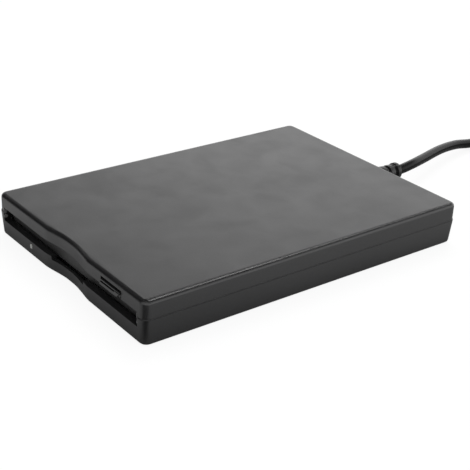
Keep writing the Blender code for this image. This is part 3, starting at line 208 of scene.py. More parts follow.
def makeFloor(setup, farGlow):
    half = setup["size"] / 2
    mesh = bpy.data.meshes.new("studioFloor")
    mesh.from_pydata([(-half, -half, 0), (half, -half, 0), (half, half, 0), (-half, half, 0)], [],
                     [(0, 1, 2, 3)])
    floor = bpy.data.objects.new("studioFloor", mesh)
    scene.collection.objects.link(floor)
    material = bpy.data.materials.new("studioFloor")
    material.use_nodes = True
    tree = material.node_tree
    tree.nodes.clear()
    path = addNode(tree, "ShaderNodeLightPath").outputs
    mirror = addMath(tree, "MAXIMUM", path["Is Glossy Ray"], path["Is Transmission Ray"])
    position = addNode(tree, "ShaderNodeNewGeometry").outputs["Position"]
    place = addNode(tree, "ShaderNodeSeparateXYZ", {0: position}).outputs
    # painted shade off the near corner: the floor's gloss level drops there
    cornerShadeX, cornerShadeY = setup["cornerShade"]
    inCornerShade = addProduct(tree, addRamp(tree, place["X"], (cornerShadeX - setup["cornerShadeFade"], cornerShadeX)),
                        addRamp(tree, place["Y"], (cornerShadeY + setup["cornerShadeFade"], cornerShadeY)), setup["cornerShadeDepth"])
    outOfCornerShade = addMath(tree, "SUBTRACT", 1.0, inCornerShade)
    # painted shade in gloss: the floor darkens towards the case, by a share for each side
    fromCase = [addMath(tree, "SUBTRACT", addMath(tree, "ABSOLUTE", place[axis]), edge)
                for axis, edge in zip("XY", setup["caseHalf"])]
    atRight = addRamp(tree, place["X"], setup["rightEdge"])
    contactShadeShare = addMix(tree, atRight, setup["contactShadeShare"][0],
                       addRamp(tree, place["Y"], setup["contactShadeFrom"], setup["contactShadeShare"][1:]))
    near = addRamp(tree, addLargest(tree, *fromCase), (0.0, setup["contactShadeReach"]), (contactShadeShare, 1.0))
    # painted shade below the lead: a darker gloss level behind the case at the left
    left = addMix(tree, addRamp(tree, place["Y"], setup["behindFrom"]),
                  addRamp(tree, place["X"], setup["frontFrom"], setup["front"]), setup["behind"])
    side = addMix(tree, atRight, left, addRamp(tree, place["Y"], setup["rightFrom"], setup["right"]))
    far = addRamp(tree, place["X"], setup["farFrom"], (0.0, farGlow))
    inGloss = addLargest(tree, addProduct(tree, outOfCornerShade, near, side), far)
    white = addNode(tree, "ShaderNodeEmission", {
        "Color": (1, 1, 1, 1), "Strength": addMix(tree, mirror, 1.0, inGloss)})
    matt = addNode(tree, "ShaderNodeBsdfDiffuse", {"Color": setup["colour"]})
    toCamera = addProduct(tree, path["Is Camera Ray"], 1 - setup["lit"])
    plain = addMath(tree, "ADD", toCamera, mirror, clamp=True)
    mix = addNode(tree, "ShaderNodeMixShader", {0: plain, 1: matt.outputs[0], 2: white.outputs[0]})
    out = addNode(tree, "ShaderNodeOutputMaterial")
    tree.links.new(mix.outputs[0], out.inputs["Surface"])
    mesh.materials.append(material)


lamps = {
    "keyBox": {"place": (-0.35, 0.45, 0.9), "aim": (0, 0, 0), "size": (0.6, 0.5), "power": 4.5},
    "sideBox": {"place": (0.6, -0.1, 0.8), "aim": (0, 0, 0), "size": (0.6, 0.6), "power": 3},
}


def makeLamps(setup):
    for name, lamp in setup.items():
        data = bpy.data.lights.new(name, "AREA")
        data.shape = "RECTANGLE"
        data.size, data.size_y = lamp["size"]
        data.energy = lamp["power"]
        light = bpy.data.objects.new(name, data)
        light.location = lamp["place"]
        aim = Vector(lamp["aim"]) - Vector(lamp["place"])
        light.rotation_mode = "QUATERNION"
        light.rotation_quaternion = aim.to_track_quat("-Z", "Y")
        light.visible_glossy = False  # the world gives the gloss its walls and strip
        scene.collection.objects.link(light)


makeWorld(worldSetup)
makeFloor(floorSetup, worldSetup["rightGlow"])
makeLamps(lamps)
print("stage and lights made")


# pieces in mesh code: each is a run of rings joined by faces
freshPieces = {}  # piece: name of its finish


def clamped(value):
    return min(1.0, max(0.0, value))


def eased(share):
    return share * share * (3 - 2 * share)


def angles(count, shift=0.0):
    return [2 * math.pi * (index + shift) / count for index in range(count)]


def quarterArc(middle, radius, begin, steps):
    points = []
    for step in range(steps + 1):
        angle = math.radians(begin + 90 * step / steps)
        points.append((middle[0] + radius * math.cos(angle), middle[1] + radius * math.sin(angle)))
    return points


def ringMesh(name, rings, closed=False):
    mesh = bpy.data.meshes.new(name)
    build = bmesh.new()
    rows = [[build.verts.new(point) for point in ring] for ring in rings]
    if closed:
        rows.append(rows[0])
    for low, high in zip(rows, rows[1:]):
        for index in range(len(low)):
            after = (index + 1) % len(low)
            build.faces.new((low[index], low[after], high[after], high[index]))
    if not closed:
        build.faces.new(rows[0][::-1])
        build.faces.new(rows[-1])
    bmesh.ops.recalc_face_normals(build, faces=build.faces)
    for face in build.faces:
        face.smooth = True
    build.to_mesh(mesh)
    build.free()
    return mesh


def addPiece(name, mesh, body, finish, slotName, *replaced):
    piece = bpy.data.objects.new(name, mesh)
    scene.collection.objects.link(piece)
    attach(piece, body)
    if replaced:
        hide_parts(*replaced)
    freshPieces[piece] = finish
    return piece


def joinMeshes(name, meshes):
    whole = bmesh.new()
    for mesh in meshes:
        whole.from_mesh(mesh)
    result = bpy.data.meshes.new(name)
    whole.to_mesh(result)
    whole.free()
    return result


def blockMesh(name, x, y, z):
    return ringMesh(name, [[(x[end], y[i], z[j]) for i, j in ((0, 0), (1, 0), (1, 1), (0, 1))]
                           for end in (0, 1)])


def carveMesh(name, start, steps):
    # start is a mesh, steps are (operation, mesh), done in turn
    body = bpy.data.objects.new(name, start)
    scene.collection.objects.link(body)
    helpers = []
    for operation, mesh in steps:
        helper = bpy.data.objects.new(name + "Tool", mesh)
        scene.collection.objects.link(helper)
        helpers.append(helper)
        step = body.modifiers.new("carve", "BOOLEAN")
        step.operation = operation
        step.solver = "EXACT"
        step.object = helper
    bpy.context.view_layer.update()
    result = bpy.data.meshes.new_from_object(body.evaluated_get(bpy.context.evaluated_depsgraph_get()))
    result.name = name
    for item in helpers + [body]:
        bpy.data.objects.remove(item)
    return result


# the strip that shows in the gap between the two covers
seam = {
    "caseHalf": 50 * mm, "front": -71.1 * mm, "back": 71.6 * mm, "corner": 2.8 * mm,
    "height": 9.85 * mm, "halfHeight": 0.17 * mm, "inset": 0.13 * mm, "crown": 0.03 * mm, "depth": 0.9 * mm,
    "frontEnd": 46.25 * mm,   # the slot begins here
    "backEnd": 2.8 * mm,      # the lead's way out
    "cornerSteps": 10,
}


def seamLine(setup, inset, side):
    radius = setup["corner"] - inset
    half, front, back = setup["caseHalf"] - inset, setup["front"] + inset, setup["back"] - inset
    line = [(setup["frontEnd"], front)]
    for middle, begin in (((half - radius, front + radius), -90), ((half - radius, back - radius), 0)):
        line += quarterArc(middle, radius, begin, setup["cornerSteps"])
    line.append((setup["backEnd"], back))
    return [(side * x, y) for x, y in line]


def makeSeam(setup):
    halves = []
    low, high = setup["height"] - setup["halfHeight"], setup["height"] + setup["halfHeight"]
    profile = [(setup["inset"], low), (setup["inset"] - setup["crown"], setup["height"]),
               (setup["inset"], high), (setup["inset"] + setup["depth"], high),
               (setup["inset"] + setup["depth"], low)]
    for side in (-1, 1):
        lines = [seamLine(setup, inset, side) for inset, height in profile]
        rings = [[(*line[index], height) for line, (inset, height) in zip(lines, profile)]
                 for index in range(len(lines[0]))]
        halves.append(ringMesh("seam", rings))
    return addPiece("seamStrip", joinMeshes("seamStrip", halves), "casing", "caseBlack", "case_plastic")


makeSeam(seam)


# the eject button: a lower ledge, a groove that stops short of the right end, a thin bar above
button = {
    "left": 24.3 * mm, "right": 36.0 * mm, "front": -71.6 * mm, "bottom": 11.95 * mm,
    "ledgeTop": 13.0 * mm, "barBottom": 13.45 * mm, "barTop": 13.88 * mm,
    "barFront": -71.35 * mm, "barBack": -69.7 * mm,
    "grooveEnd": 33.3 * mm, "grooveDepth": 1.0 * mm,
    "cornerStart": 34.3 * mm, "cornerTop": 12.9 * mm, "cornerDepth": 0.8 * mm,
    "over": 0.4 * mm,
}


def makeButton(setup):
    start = bpy.data.meshes.new("ejectButton")
    build = bmesh.new()
    build.from_mesh(nodes["eject_button"].data)
    bmesh.ops.remove_doubles(build, verts=build.verts, dist=weldDistance)
    build.to_mesh(start)
    build.free()
    over = setup["over"]
    left, right, front = setup["left"], setup["right"], setup["front"]
    bar = blockMesh("bar", (left, right), (setup["barFront"], setup["barBack"]),
                    (setup["barBottom"] - over, setup["barTop"]))
    groove = blockMesh("groove", (left - over, setup["grooveEnd"]),
                       (front - over, front + setup["grooveDepth"]), (setup["ledgeTop"], setup["barBottom"]))
    step = blockMesh("step", (left - over, right + over), (front - over, setup["barFront"]),
                     (setup["barBottom"], setup["barTop"] + over))
    corner = ringMesh("corner", [
        [(setup["cornerStart"], y, setup["bottom"] - over), (right + over, y, setup["bottom"] - over),
         (right + over, y, setup["cornerTop"] + over), (right - over, y, setup["cornerTop"])]
        for y in (front - over, front + setup["cornerDepth"])])
    mesh = carveMesh("ejectButton", start, [("UNION", bar), ("DIFFERENCE", step), ("DIFFERENCE", groove),
                                            ("DIFFERENCE", corner)])
    return addPiece("ejectButton", mesh, "eject_slide", "buttonBlack", "dark_plastic", "eject_button")


ejectButton = makeButton(button)


# a rest pad and a round pin end in each end wall of the disk slot
slotPad = {
    "wall": 46.0 * mm, "thick": 0.14 * mm, "y": (-71.0 * mm, -69.7 * mm), "z": (9.25 * mm, 11.5 * mm),
    "pinY": -70.25 * mm, "pinZ": 8.1 * mm, "pinRadius": 0.78 * mm, "pinHigh": 0.3 * mm, "pinEdge": 0.08 * mm,
    "dimpleRadius": 0.36 * mm, "dimpleDeep": 0.16 * mm, "dimpleShares": (0.8, 0.1), "sides": 32,
}


def makeSlotPad(name, setup, side):
    wall, thick = setup["wall"], setup["thick"]
    pad = blockMesh("pad", sorted((side * (wall + thick), side * (wall - thick))), setup["y"], setup["z"])
    pin, dimple, high, edge = (setup[k] for k in ("pinRadius", "dimpleRadius", "pinHigh", "pinEdge"))
    levels = [(pin, -high), (pin, high - edge), (pin - edge, high), (dimple, high)]
    levels += [(dimple * share, high - setup["dimpleDeep"]) for share in setup["dimpleShares"]]
    rings = []
    for radius, rise in levels:
        rings.append([(side * (wall - rise), setup["pinY"] + radius * math.cos(angle),
                       setup["pinZ"] + radius * math.sin(angle)) for angle in angles(setup["sides"])])
    mesh = joinMeshes(name, [pad, ringMesh("pin", rings)])
    return addPiece(name, mesh, "casing", "slotGrey", "flap_plastic")


slotPads = [makeSlotPad("slotPadLeft", slotPad, -1), makeSlotPad("slotPadRight", slotPad, 1)]
print("seam, button and slot pads made")


# boot of the lead: flange inside, ribs whose grooves are bridged by turns, a thicker ring at the tip
boot = {
    "height": 8.2 * mm, "base": 71.9 * mm, "tip": 89.3 * mm, "inside": 67.3 * mm, "neckFrom": 69.5 * mm,
    "flangeRadius": 3.9 * mm, "neckRadius": 2.6 * mm, "ribRadius": (3.75 * mm, 3.2 * mm),
    "ringRadius": 3.6 * mm, "ringWidth": 1.9 * mm, "grooveWidth": 1.35 * mm, "groovePitch": 3.9 * mm,
    "grooveDepth": 0.85 * mm, "grooves": 4, "webStart": 0.93, "webFade": 0.1,
    "edge": 0.18 * mm, "dropShare": 0.4, "slopeShare": 0.6, "baseStep": 0.01 * mm,
    "tipEdge": ((0.35 * mm, 0.0), (0.1 * mm, 0.12 * mm), (0.0, 0.4 * mm)),   # back, and in from the ring
    "holeRadius": (2.15 * mm, 2.1 * mm), "holeDepth": 0.8 * mm, "sides": 64,
}


def grooveShare(setup, angle, number):
    # 1 where a groove is open, 0 where a web crosses it; odd grooves have their webs a quarter turn on
    across = abs(math.sin(angle) if number % 2 else math.cos(angle))
    return clamped((setup["webStart"] - across) / setup["webFade"])


def bootRows(setup):
    # place along Y, radius, and number of the groove or None
    edge, inside, neckFrom, base, tip = (setup[k] for k in ("edge", "inside", "neckFrom", "base", "tip"))
    flange, neck, (first, last) = setup["flangeRadius"], setup["neckRadius"], setup["ribRadius"]
    drop, slope = edge * setup["dropShare"], edge * setup["slopeShare"]
    rows = [(inside, flange - edge, None), (inside + edge, flange, None), (neckFrom - edge, flange, None),
            (neckFrom, neck, None), (base, neck, None), (base + setup["baseStep"], first - edge, None),
            (base + edge, first, None)]
    ring = tip - setup["ringWidth"]
    for number in range(setup["grooves"] - 1, -1, -1):
        end = ring - number * setup["groovePitch"]
        start = end - setup["grooveWidth"]
        radius = first + (last - first) * (start - base) / (ring - base)
        after = radius if number else setup["ringRadius"]
        rows += [(start - edge, radius, None), (start, radius - drop, None), (start + slope, radius, number),
                 (end - slope, radius, number), (end, after - drop, None), (end + edge, after, None)]
    rows += [(tip - back, setup["ringRadius"] - under, None) for back, under in setup["tipEdge"]]
    rows += [(tip, setup["holeRadius"][0], None), (tip - setup["holeDepth"], setup["holeRadius"][1], None)]
    return rows


def makeBoot(setup):
    rings = []
    for y, radius, groove in bootRows(setup):
        circle = []
        for angle in angles(setup["sides"]):
            here = radius
            if groove is not None:
                here -= setup["grooveDepth"] * grooveShare(setup, angle, groove)
            circle.append((here * math.sin(angle), y, setup["height"] + here * math.cos(angle)))
        rings.append(circle)
    return addPiece("leadBoot", ringMesh("leadBoot", rings), "casing", "jacketBlack", "lead_jacket",
                    "strain_relief")


# grip of the plug: from the lead to the shell, waisted, with ridges under finger and thumb
grip = {
    "start": 69 * mm, "middle": (150.5 * mm, 4.1 * mm), "sides": 48,
    # place, half width and half height in mm, squareness
    "rows": ((0, 2.5, 2.5, 2), (0.4, 2.9, 2.9, 2), (3.2, 3.0, 3.0, 2), (3.6, 3.3, 3.2, 2),
             (6, 4.6, 3.5, 2.4), (8.5, 6.4, 3.85, 3.2), (10, 7.0, 3.95, 4), (18, 6.9, 3.8, 4.5),
             (22, 7.2, 3.9, 5), (26.5, 7.5, 4.0, 6), (27.4, 7.4, 3.9, 6), (27.85, 7.0, 3.5, 6)),
    "softOver": 1,                  # longer steps between rows are eased, in mm
    "ringStep": 0.6, "rings": 45,   # rings between the rows, in mm
    "ridges": 5, "ridgeStart": 11.2 * mm, "ridgePitch": 1.5 * mm, "ridgeDepth": 0.3 * mm,
    "ridgeEdges": (-0.35 * mm, -0.2 * mm, 0.2 * mm, 0.35 * mm), "ridgeHalf": 0.25 * mm,
    "ridgeWide": 0.68, "ridgeFade": 0.1,
    "tiny": 1e-9,
}


def gripSize(setup, along):
    rows = setup["rows"]
    for first, second in zip(rows, rows[1:]):
        if along <= second[0] * mm + setup["tiny"]:
            share = (along / mm - first[0]) / (second[0] - first[0])
            if second[0] - first[0] > setup["softOver"]:
                share = eased(share)
            return [a + (b - a) * share for a, b in zip(first, second)][1:]
    return rows[-1][1:]


def makeGrip(setup):
    places = {row[0] * mm for row in setup["rows"]}
    places |= {step * setup["ringStep"] * mm for step in range(1, setup["rings"] + 1)}
    grooves = [setup["ridgeStart"] + number * setup["ridgePitch"] for number in range(setup["ridges"] + 1)]
    places |= {groove + edge for groove in grooves for edge in setup["ridgeEdges"]}
    rings = []
    for along in sorted(places):
        wide, tall, square = gripSize(setup, along)
        deep = any(abs(along - groove) < setup["ridgeHalf"] for groove in grooves)
        circle = []
        for angle in angles(setup["sides"], 0.5):
            c, s = math.cos(angle), math.sin(angle)
            reach = (abs(c) ** square + abs(s) ** square) ** (-1 / square)
            y, z = wide * mm * reach * c, tall * mm * reach * s
            if deep:
                share = clamped((setup["ridgeWide"] - abs(c * reach)) / setup["ridgeFade"])
                z -= math.copysign(setup["ridgeDepth"] * share, z)
            circle.append((setup["start"] + along, setup["middle"][0] + y, setup["middle"][1] + z))
        rings.append(circle)
    return addPiece("plugGrip", ringMesh("plugGrip", rings), "casing", "jacketBlack", "lead_jacket",
                    "plug_grip")


# a tie round the turns of the coil
tie = {
    "centre": (12 * mm, 194.5 * mm), "angle": -60.0, "inner": 16.5 * mm, "outer": 27.3 * mm,
    "bottom": 0.0, "top": 9.65 * mm, "thick": 0.4 * mm, "width": 3.0 * mm, "crownShare": 0.9,
    "corner": 2.0 * mm, "steps": 8,
}


def makeTie(setup):
    angle = math.radians(setup["angle"])
    out = Vector((math.cos(angle), math.sin(angle), 0))
    along = Vector((-out.y, out.x, 0))
    centre = Vector((*setup["centre"], 0))
    loops = []
    for inset in (0, setup["thick"]):
        radius = setup["corner"] - inset
        low, high = setup["bottom"] + inset, setup["top"] - inset
        near, far = setup["inner"] + inset, setup["outer"] - inset
        loop = []
        for middle, begin in (((far - radius, low + radius), -90), ((far - radius, high - radius), 0),
                              ((near + radius, high - radius), 90), ((near + radius, low + radius), 180)):
            loop += quarterArc(middle, radius, begin, setup["steps"])
        loops.append(loop)
    rings = []
    half = setup["width"] / 2
    crown = half * setup["crownShare"]
    for outer, inner in zip(*loops):
        corners = []
        for (r, z), shift in ((outer, -crown), (outer, crown), (inner, half), (inner, -half)):
            corners.append(centre + out * r + along * shift + Vector((0, 0, z)))
        rings.append(corners)
    return addPiece("coilTie", ringMesh("coilTie", rings, closed=True), "casing", "tieBlack", "dark_plastic")


onLead = {"boot": makeBoot(boot), "grip": makeGrip(grip), "tie": makeTie(tie)}
print("boot, plug grip and tie made")


# the lead: one line from inside the boot, round the coil, into the plug's grip
lead = {
    "radius": 2.1 * mm,
    "height": 8.2 * mm,
    "start": 88.0 * mm,
    "floorGap": 0.05 * mm,
    "coilRadius": 17 * mm,
    "coilPitch": 4.9 * mm,
    "coilTurns": 4.5,
    "climbTurns": 0.5,
    "coilX": 12 * mm,
    "coilY": 194.5 * mm,
    "plugX": 69 * mm,
    "plugY": 150.5 * mm,
    "plugZ": 4.1 * mm,
    "gap": 0.3 * mm,
    "inGrip": 1.5 * mm,
    "sides": 6,
    "pointsPerTurn": 48,
    "fineSteps": 24,
    "stepShare": 2 / 3,      # length of a step on the route, over the radius
    # points between the boot and the coil, and between the coil and the plug, in mm
    "toCoil": [(-1.4, 100.5, 8.3), (-4.6, 110.4, 7.6), (-10.4, 127.6, 6.3), (-13.7, 141.6, 4.7),
               (-14.3, 152.8, 3), (-15, 163, 2.25), (-16, 175, 2.15)],
    "toPlug": [(39.9, 174, 5.4), (42.6, 162.5, 3.8), (49.5, 154.5, 3.5), (58, 151.2, 3.9)],
}


def smoothRoute(setup, points):
    # through all the points, then evened out to short steps
    ends = [points[0] * 2 - points[1]] + points + [points[-1] * 2 - points[-2]]
    fine = []
    for index in range(1, len(ends) - 2):
        before, first, second, after = ends[index - 1:index + 3]
        for part in range(setup["fineSteps"]):
            t = part / setup["fineSteps"]
            fine.append((first * 2 + (second - before) * t
                         + (before * 2 - first * 5 + second * 4 - after) * t ** 2
                         + (first * 3 - before - second * 3 + after) * t ** 3) * 0.5)
    fine.append(points[-1])
    lengths = [0.0]
    for first, second in zip(fine, fine[1:]):
        lengths.append(lengths[-1] + (second - first).length)
    count = max(2, round(lengths[-1] / (setup["radius"] * setup["stepShare"])))
    route = []
    index = 0
    for number in range(count + 1):
        want = lengths[-1] * number / count
        while index < len(fine) - 2 and lengths[index + 1] < want:
            index += 1
        share = (want - lengths[index]) / (lengths[index + 1] - lengths[index])
        route.append(fine[index].lerp(fine[index + 1], min(share, 1)))
    return route


def coilPoints(setup):
    low = setup["radius"] + setup["floorGap"]
    half = setup["coilTurns"] / 2
    points = []
    for step in range(round(setup["coilTurns"] * setup["pointsPerTurn"]) + 1):
        turns = step / setup["pointsPerTurn"]
        radius = setup["coilRadius"] + setup["coilPitch"] * abs(turns - half)
        climb = eased(clamped((turns - half) / setup["climbTurns"] + 0.5))
        angle = math.pi - 2 * math.pi * turns
        points.append(Vector((setup["coilX"] + radius * math.cos(angle),
                              setup["coilY"] + radius * math.sin(angle),
                              low + setup["coilPitch"] * climb)))
    return points


def leadPoints(setup):
    diameter, gap = 2 * setup["radius"], setup["gap"]
    start = Vector((0, setup["start"], setup["height"]))
    coil = coilPoints(setup)
    toCoil = [start, start + Vector((0, diameter, 0))] + [Vector(p) * mm for p in setup["toCoil"]]
    toCoil += [coil[0] - Vector((0, 2 * diameter + gap, 0)), coil[0] - Vector((0, diameter + gap, 0))]
    toCoil.append(coil[0])
    plug = Vector((setup["plugX"], setup["plugY"], setup["plugZ"]))
    leave = coil[-1] - Vector((0, diameter + gap, 0))
    toPlug = [coil[-1], leave, leave - Vector((0, diameter, 0))] + [Vector(p) * mm for p in setup["toPlug"]]
    toPlug += [plug - Vector((diameter + gap, 0, 0)), plug - Vector((gap, 0, 0)),
               plug + Vector((setup["inGrip"], 0, 0))]
    return smoothRoute(setup, toCoil)[:-1] + coil + smoothRoute(setup, toPlug)[1:]


def makeLead(setup):
    points = leadPoints(setup)
    curve = bpy.data.curves.new("leadCable", "CURVE")
    curve.dimensions = "3D"
    curve.bevel_depth = 1  # times each point's own radius
    curve.bevel_resolution = setup["sides"]
    curve.use_fill_caps = True
    line = curve.splines.new("POLY")
    line.points.add(len(points) - 1)
    for point, place in zip(line.points, points):
        point.co = (*place, 1)
        point.radius = setup["radius"]
    line.use_smooth = True
    cable = bpy.data.objects.new("leadCable", curve)
    scene.collection.objects.link(cable)
    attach(cable, "casing")
    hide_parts("usb_cord", "cord_coil", "plug_cord")
    freshPieces[cable] = "cableBlack"
    return cable


makeLead(lead)
print("lead made")


# shader groups, shared by the materials below
ramps = {
    "noise": (0.3, 0.7),         # where most values of a noise lie
    "edgeFrom": 0.02,            # bend of the normal at which an edge begins
    "edgeBroken": (0.35, 0.6),   # noise that breaks up the rubbed edge
    "facingUp": (0.5, 0.95),
    "speck": (0.45, 0.8),        # noise that leaves single specks
}


def newGroup(name, inputs, outputs):
    tree = bpy.data.node_groups.new(name, "ShaderNodeTree")
    for label, value in inputs.items():
        socket = tree.interface.new_socket(label, in_out="INPUT", socket_type="NodeSocketFloat")
        socket.default_value = value
    for label in outputs:
        tree.interface.new_socket(label, in_out="OUTPUT", socket_type="NodeSocketFloat")
    return tree, tree.nodes.new("NodeGroupInput").outputs, tree.nodes.new("NodeGroupOutput").inputs


def scaledPlace(tree, perMm, stretch=(1, 1, 1)):
    place = addNode(tree, "ShaderNodeTexCoord").outputs["Object"]
    unit = addNode(tree, "ShaderNodeVectorMath", {0: place, 1: tuple(s / mm for s in stretch)},
                   operation="MULTIPLY").outputs[0]
    return addNode(tree, "ShaderNodeVectorMath", {0: unit, "Scale": perMm}, operation="SCALE").outputs[0]


def addNoise(tree, perMm, detail, stretch=(1, 1, 1), **more):
    inputs = {"Vector": scaledPlace(tree, perMm, stretch), "Scale": 1.0, "Detail": detail}
    inputs.update({key.capitalize(): value for key, value in more.items()})
    return addNode(tree, "ShaderNodeTexNoise", inputs).outputs["Fac"]


def makeGrainGroup():
    # moulded texture: fine pits and a softer ripple below them
    tree, given, put = newGroup(
        "mouldGrain", {"Pits per mm": 2.0, "Ripple per mm": 0.4, "Ripple Share": 0.3}, ["Height", "Speckle"])
    pits = addNoise(tree, given["Pits per mm"], 2.0, roughness=0.6)
    ripple = addNoise(tree, given["Ripple per mm"], 1.0)
    tree.links.new(addMix(tree, given["Ripple Share"], pits, ripple), put["Height"])
    tree.links.new(addRamp(tree, pits, ramps["noise"]), put["Speckle"])
    return tree


def makeMottleGroup():
    # slow changes in sheen, as left by handling and by the moulding
    tree, given, put = newGroup("softMottle", {"Patches per mm": 0.08, "Low": 0.3, "High": 0.4}, ["Value"])
    wide = addNoise(tree, given["Patches per mm"], 3.0, roughness=0.5, distortion=0.4)
    tree.links.new(addRamp(tree, wide, ramps["noise"], (given["Low"], given["High"])), put["Value"])
    return tree


def makeEdgeGroup():
    # worn and polished edges: where the rounded normal leaves the true one
    tree, given, put = newGroup(
        "edgeRub", {"Radius": 0.3 * mm, "Reach": 0.25, "Patches per mm": 0.5}, ["Mask"])
    soft = addNode(tree, "ShaderNodeBevel", {"Radius": given["Radius"]}, samples=4).outputs["Normal"]
    plain = addNode(tree, "ShaderNodeNewGeometry").outputs["Normal"]
    alike = addNode(tree, "ShaderNodeVectorMath", {0: soft, 1: plain},
                    operation="DOT_PRODUCT").outputs["Value"]
    edge = addRamp(tree, addMath(tree, "SUBTRACT", 1.0, alike), (ramps["edgeFrom"], given["Reach"]))
    broken = addRamp(tree, addNoise(tree, given["Patches per mm"], 2.0), ramps["edgeBroken"])
    tree.links.new(addProduct(tree, edge, broken), put["Mask"])
    return tree


def makeDustGroup():
    # a little dust on what faces up
    tree, given, put = newGroup("restingDust", {"Amount": 0.1, "Specks per mm": 1.2}, ["Mask"])
    normal = addNode(tree, "ShaderNodeNewGeometry").outputs["Normal"]
    up = addNode(tree, "ShaderNodeSeparateXYZ", {0: normal}).outputs["Z"]
    specks = addNoise(tree, given["Specks per mm"], 4.0, roughness=0.7)
    mask = addProduct(tree, addRamp(tree, up, ramps["facingUp"]), addRamp(tree, specks, ramps["speck"]),
                      given["Amount"])
    tree.links.new(mask, put["Mask"])
    return tree


def makeBrushGroup():
    # rolled or drawn metal: fine lines along Y
    tree, given, put = newGroup("rolledLines", {"Lines per mm": 6.0, "Low": 0.3, "High": 0.45},
                                ["Height", "Value"])
    lines = addNoise(tree, given["Lines per mm"], 3.0, stretch=(1, 0.04, 1), roughness=0.6)
    tree.links.new(lines, put["Height"])
    tree.links.new(addRamp(tree, lines, ramps["noise"], (given["Low"], given["High"])), put["Value"])
    return tree


groups = {"grain": makeGrainGroup(), "mottle": makeMottleGroup(), "edge": makeEdgeGroup(),
          "dust": makeDustGroup(), "brush": makeBrushGroup()}
print("shader groups made")


def placeGroup(tree, name, inputs):
    node = tree.nodes.new("ShaderNodeGroup")
    node.node_tree = groups[name]
    for key, value in inputs.items():
        node.inputs[key].default_value = value
    return node.outputs


def startMaterial(name):
    material = bpy.data.materials.new(name)
    material.use_nodes = True
    tree = material.node_tree
    return material, tree, tree.nodes["Principled BSDF"]


def mixColour(tree, factor, first, second):
    node = tree.nodes.new("ShaderNodeMix")
    node.data_type = "RGBA"
    for index, value in ((0, factor), (6, first), (7, second)):
        if isinstance(value, bpy.types.NodeSocket):
            tree.links.new(value, node.inputs[index])
        else:
            node.inputs[index].default_value = (*value, 1) if index else value
    return node.outputs[2]


def addGrain(tree, setup):
    return placeGroup(tree, "grain", {"Pits per mm": setup["pits"], "Ripple per mm": setup["ripple"],
                                      "Ripple Share": setup["rippleShare"]})


def addMottle(tree, patches, levels):
    inputs = {"Patches per mm": patches, "Low": levels[0], "High": levels[1]}
    return placeGroup(tree, "mottle", inputs)["Value"]


def addSheen(tree, shader, setup):
    tree.links.new(addMottle(tree, setup["patches"], setup["sheen"]), shader.inputs["Roughness"])


def addBump(tree, shader, height, depth):
    bump = addNode(tree, "ShaderNodeBump", {"Height": height, "Strength": 1.0, "Distance": depth})
    tree.links.new(bump.outputs["Normal"], shader.inputs["Normal"])


def makePlastic(name, setup):
    material, tree, shader = startMaterial(name)
    grain = addGrain(tree, setup)
    edge = placeGroup(tree, "edge", {"Radius": setup["edgeRadius"]})["Mask"]
    dust = placeGroup(tree, "dust", {"Amount": setup["dust"]})["Mask"]
    speckled = mixColour(tree, grain["Speckle"], setup["colour"],
                         tuple(c * setup["speckle"] for c in setup["colour"]))
    rubbed = mixColour(tree, addProduct(tree, edge, setup["edgeShare"]), speckled, setup["edgeColour"])
    tree.links.new(mixColour(tree, dust, rubbed, setup["dustColour"]), shader.inputs["Base Color"])
    shader.inputs["Specular IOR Level"].default_value = setup["gloss"]
    addSheen(tree, shader, setup)
    addBump(tree, shader, grain["Height"], setup["depth"])
    return material


def makeMetal(name, setup):
    material, tree, shader = startMaterial(name)
    brush = placeGroup(tree, "brush", {"Lines per mm": setup["lines"], "Low": setup["sheen"][0],
                                       "High": setup["sheen"][1]})
    edge = placeGroup(tree, "edge", {"Radius": setup["edgeRadius"]})["Mask"]
    base = mixColour(tree, addMottle(tree, setup["patches"], (0.0, 1.0)), setup["colour"], setup["second"])
    bright = mixColour(tree, addProduct(tree, edge, setup["edgeShare"]), base,
                       tuple(min(1.0, c * setup["edgeLift"]) for c in setup["colour"]))
    tree.links.new(bright, shader.inputs["Base Color"])
    tree.links.new(brush["Value"], shader.inputs["Roughness"])
    shader.inputs["Metallic"].default_value = 1.0
    addBump(tree, shader, brush["Height"], setup["depth"])
    return material


def grey(level):
    return (level, level, level)


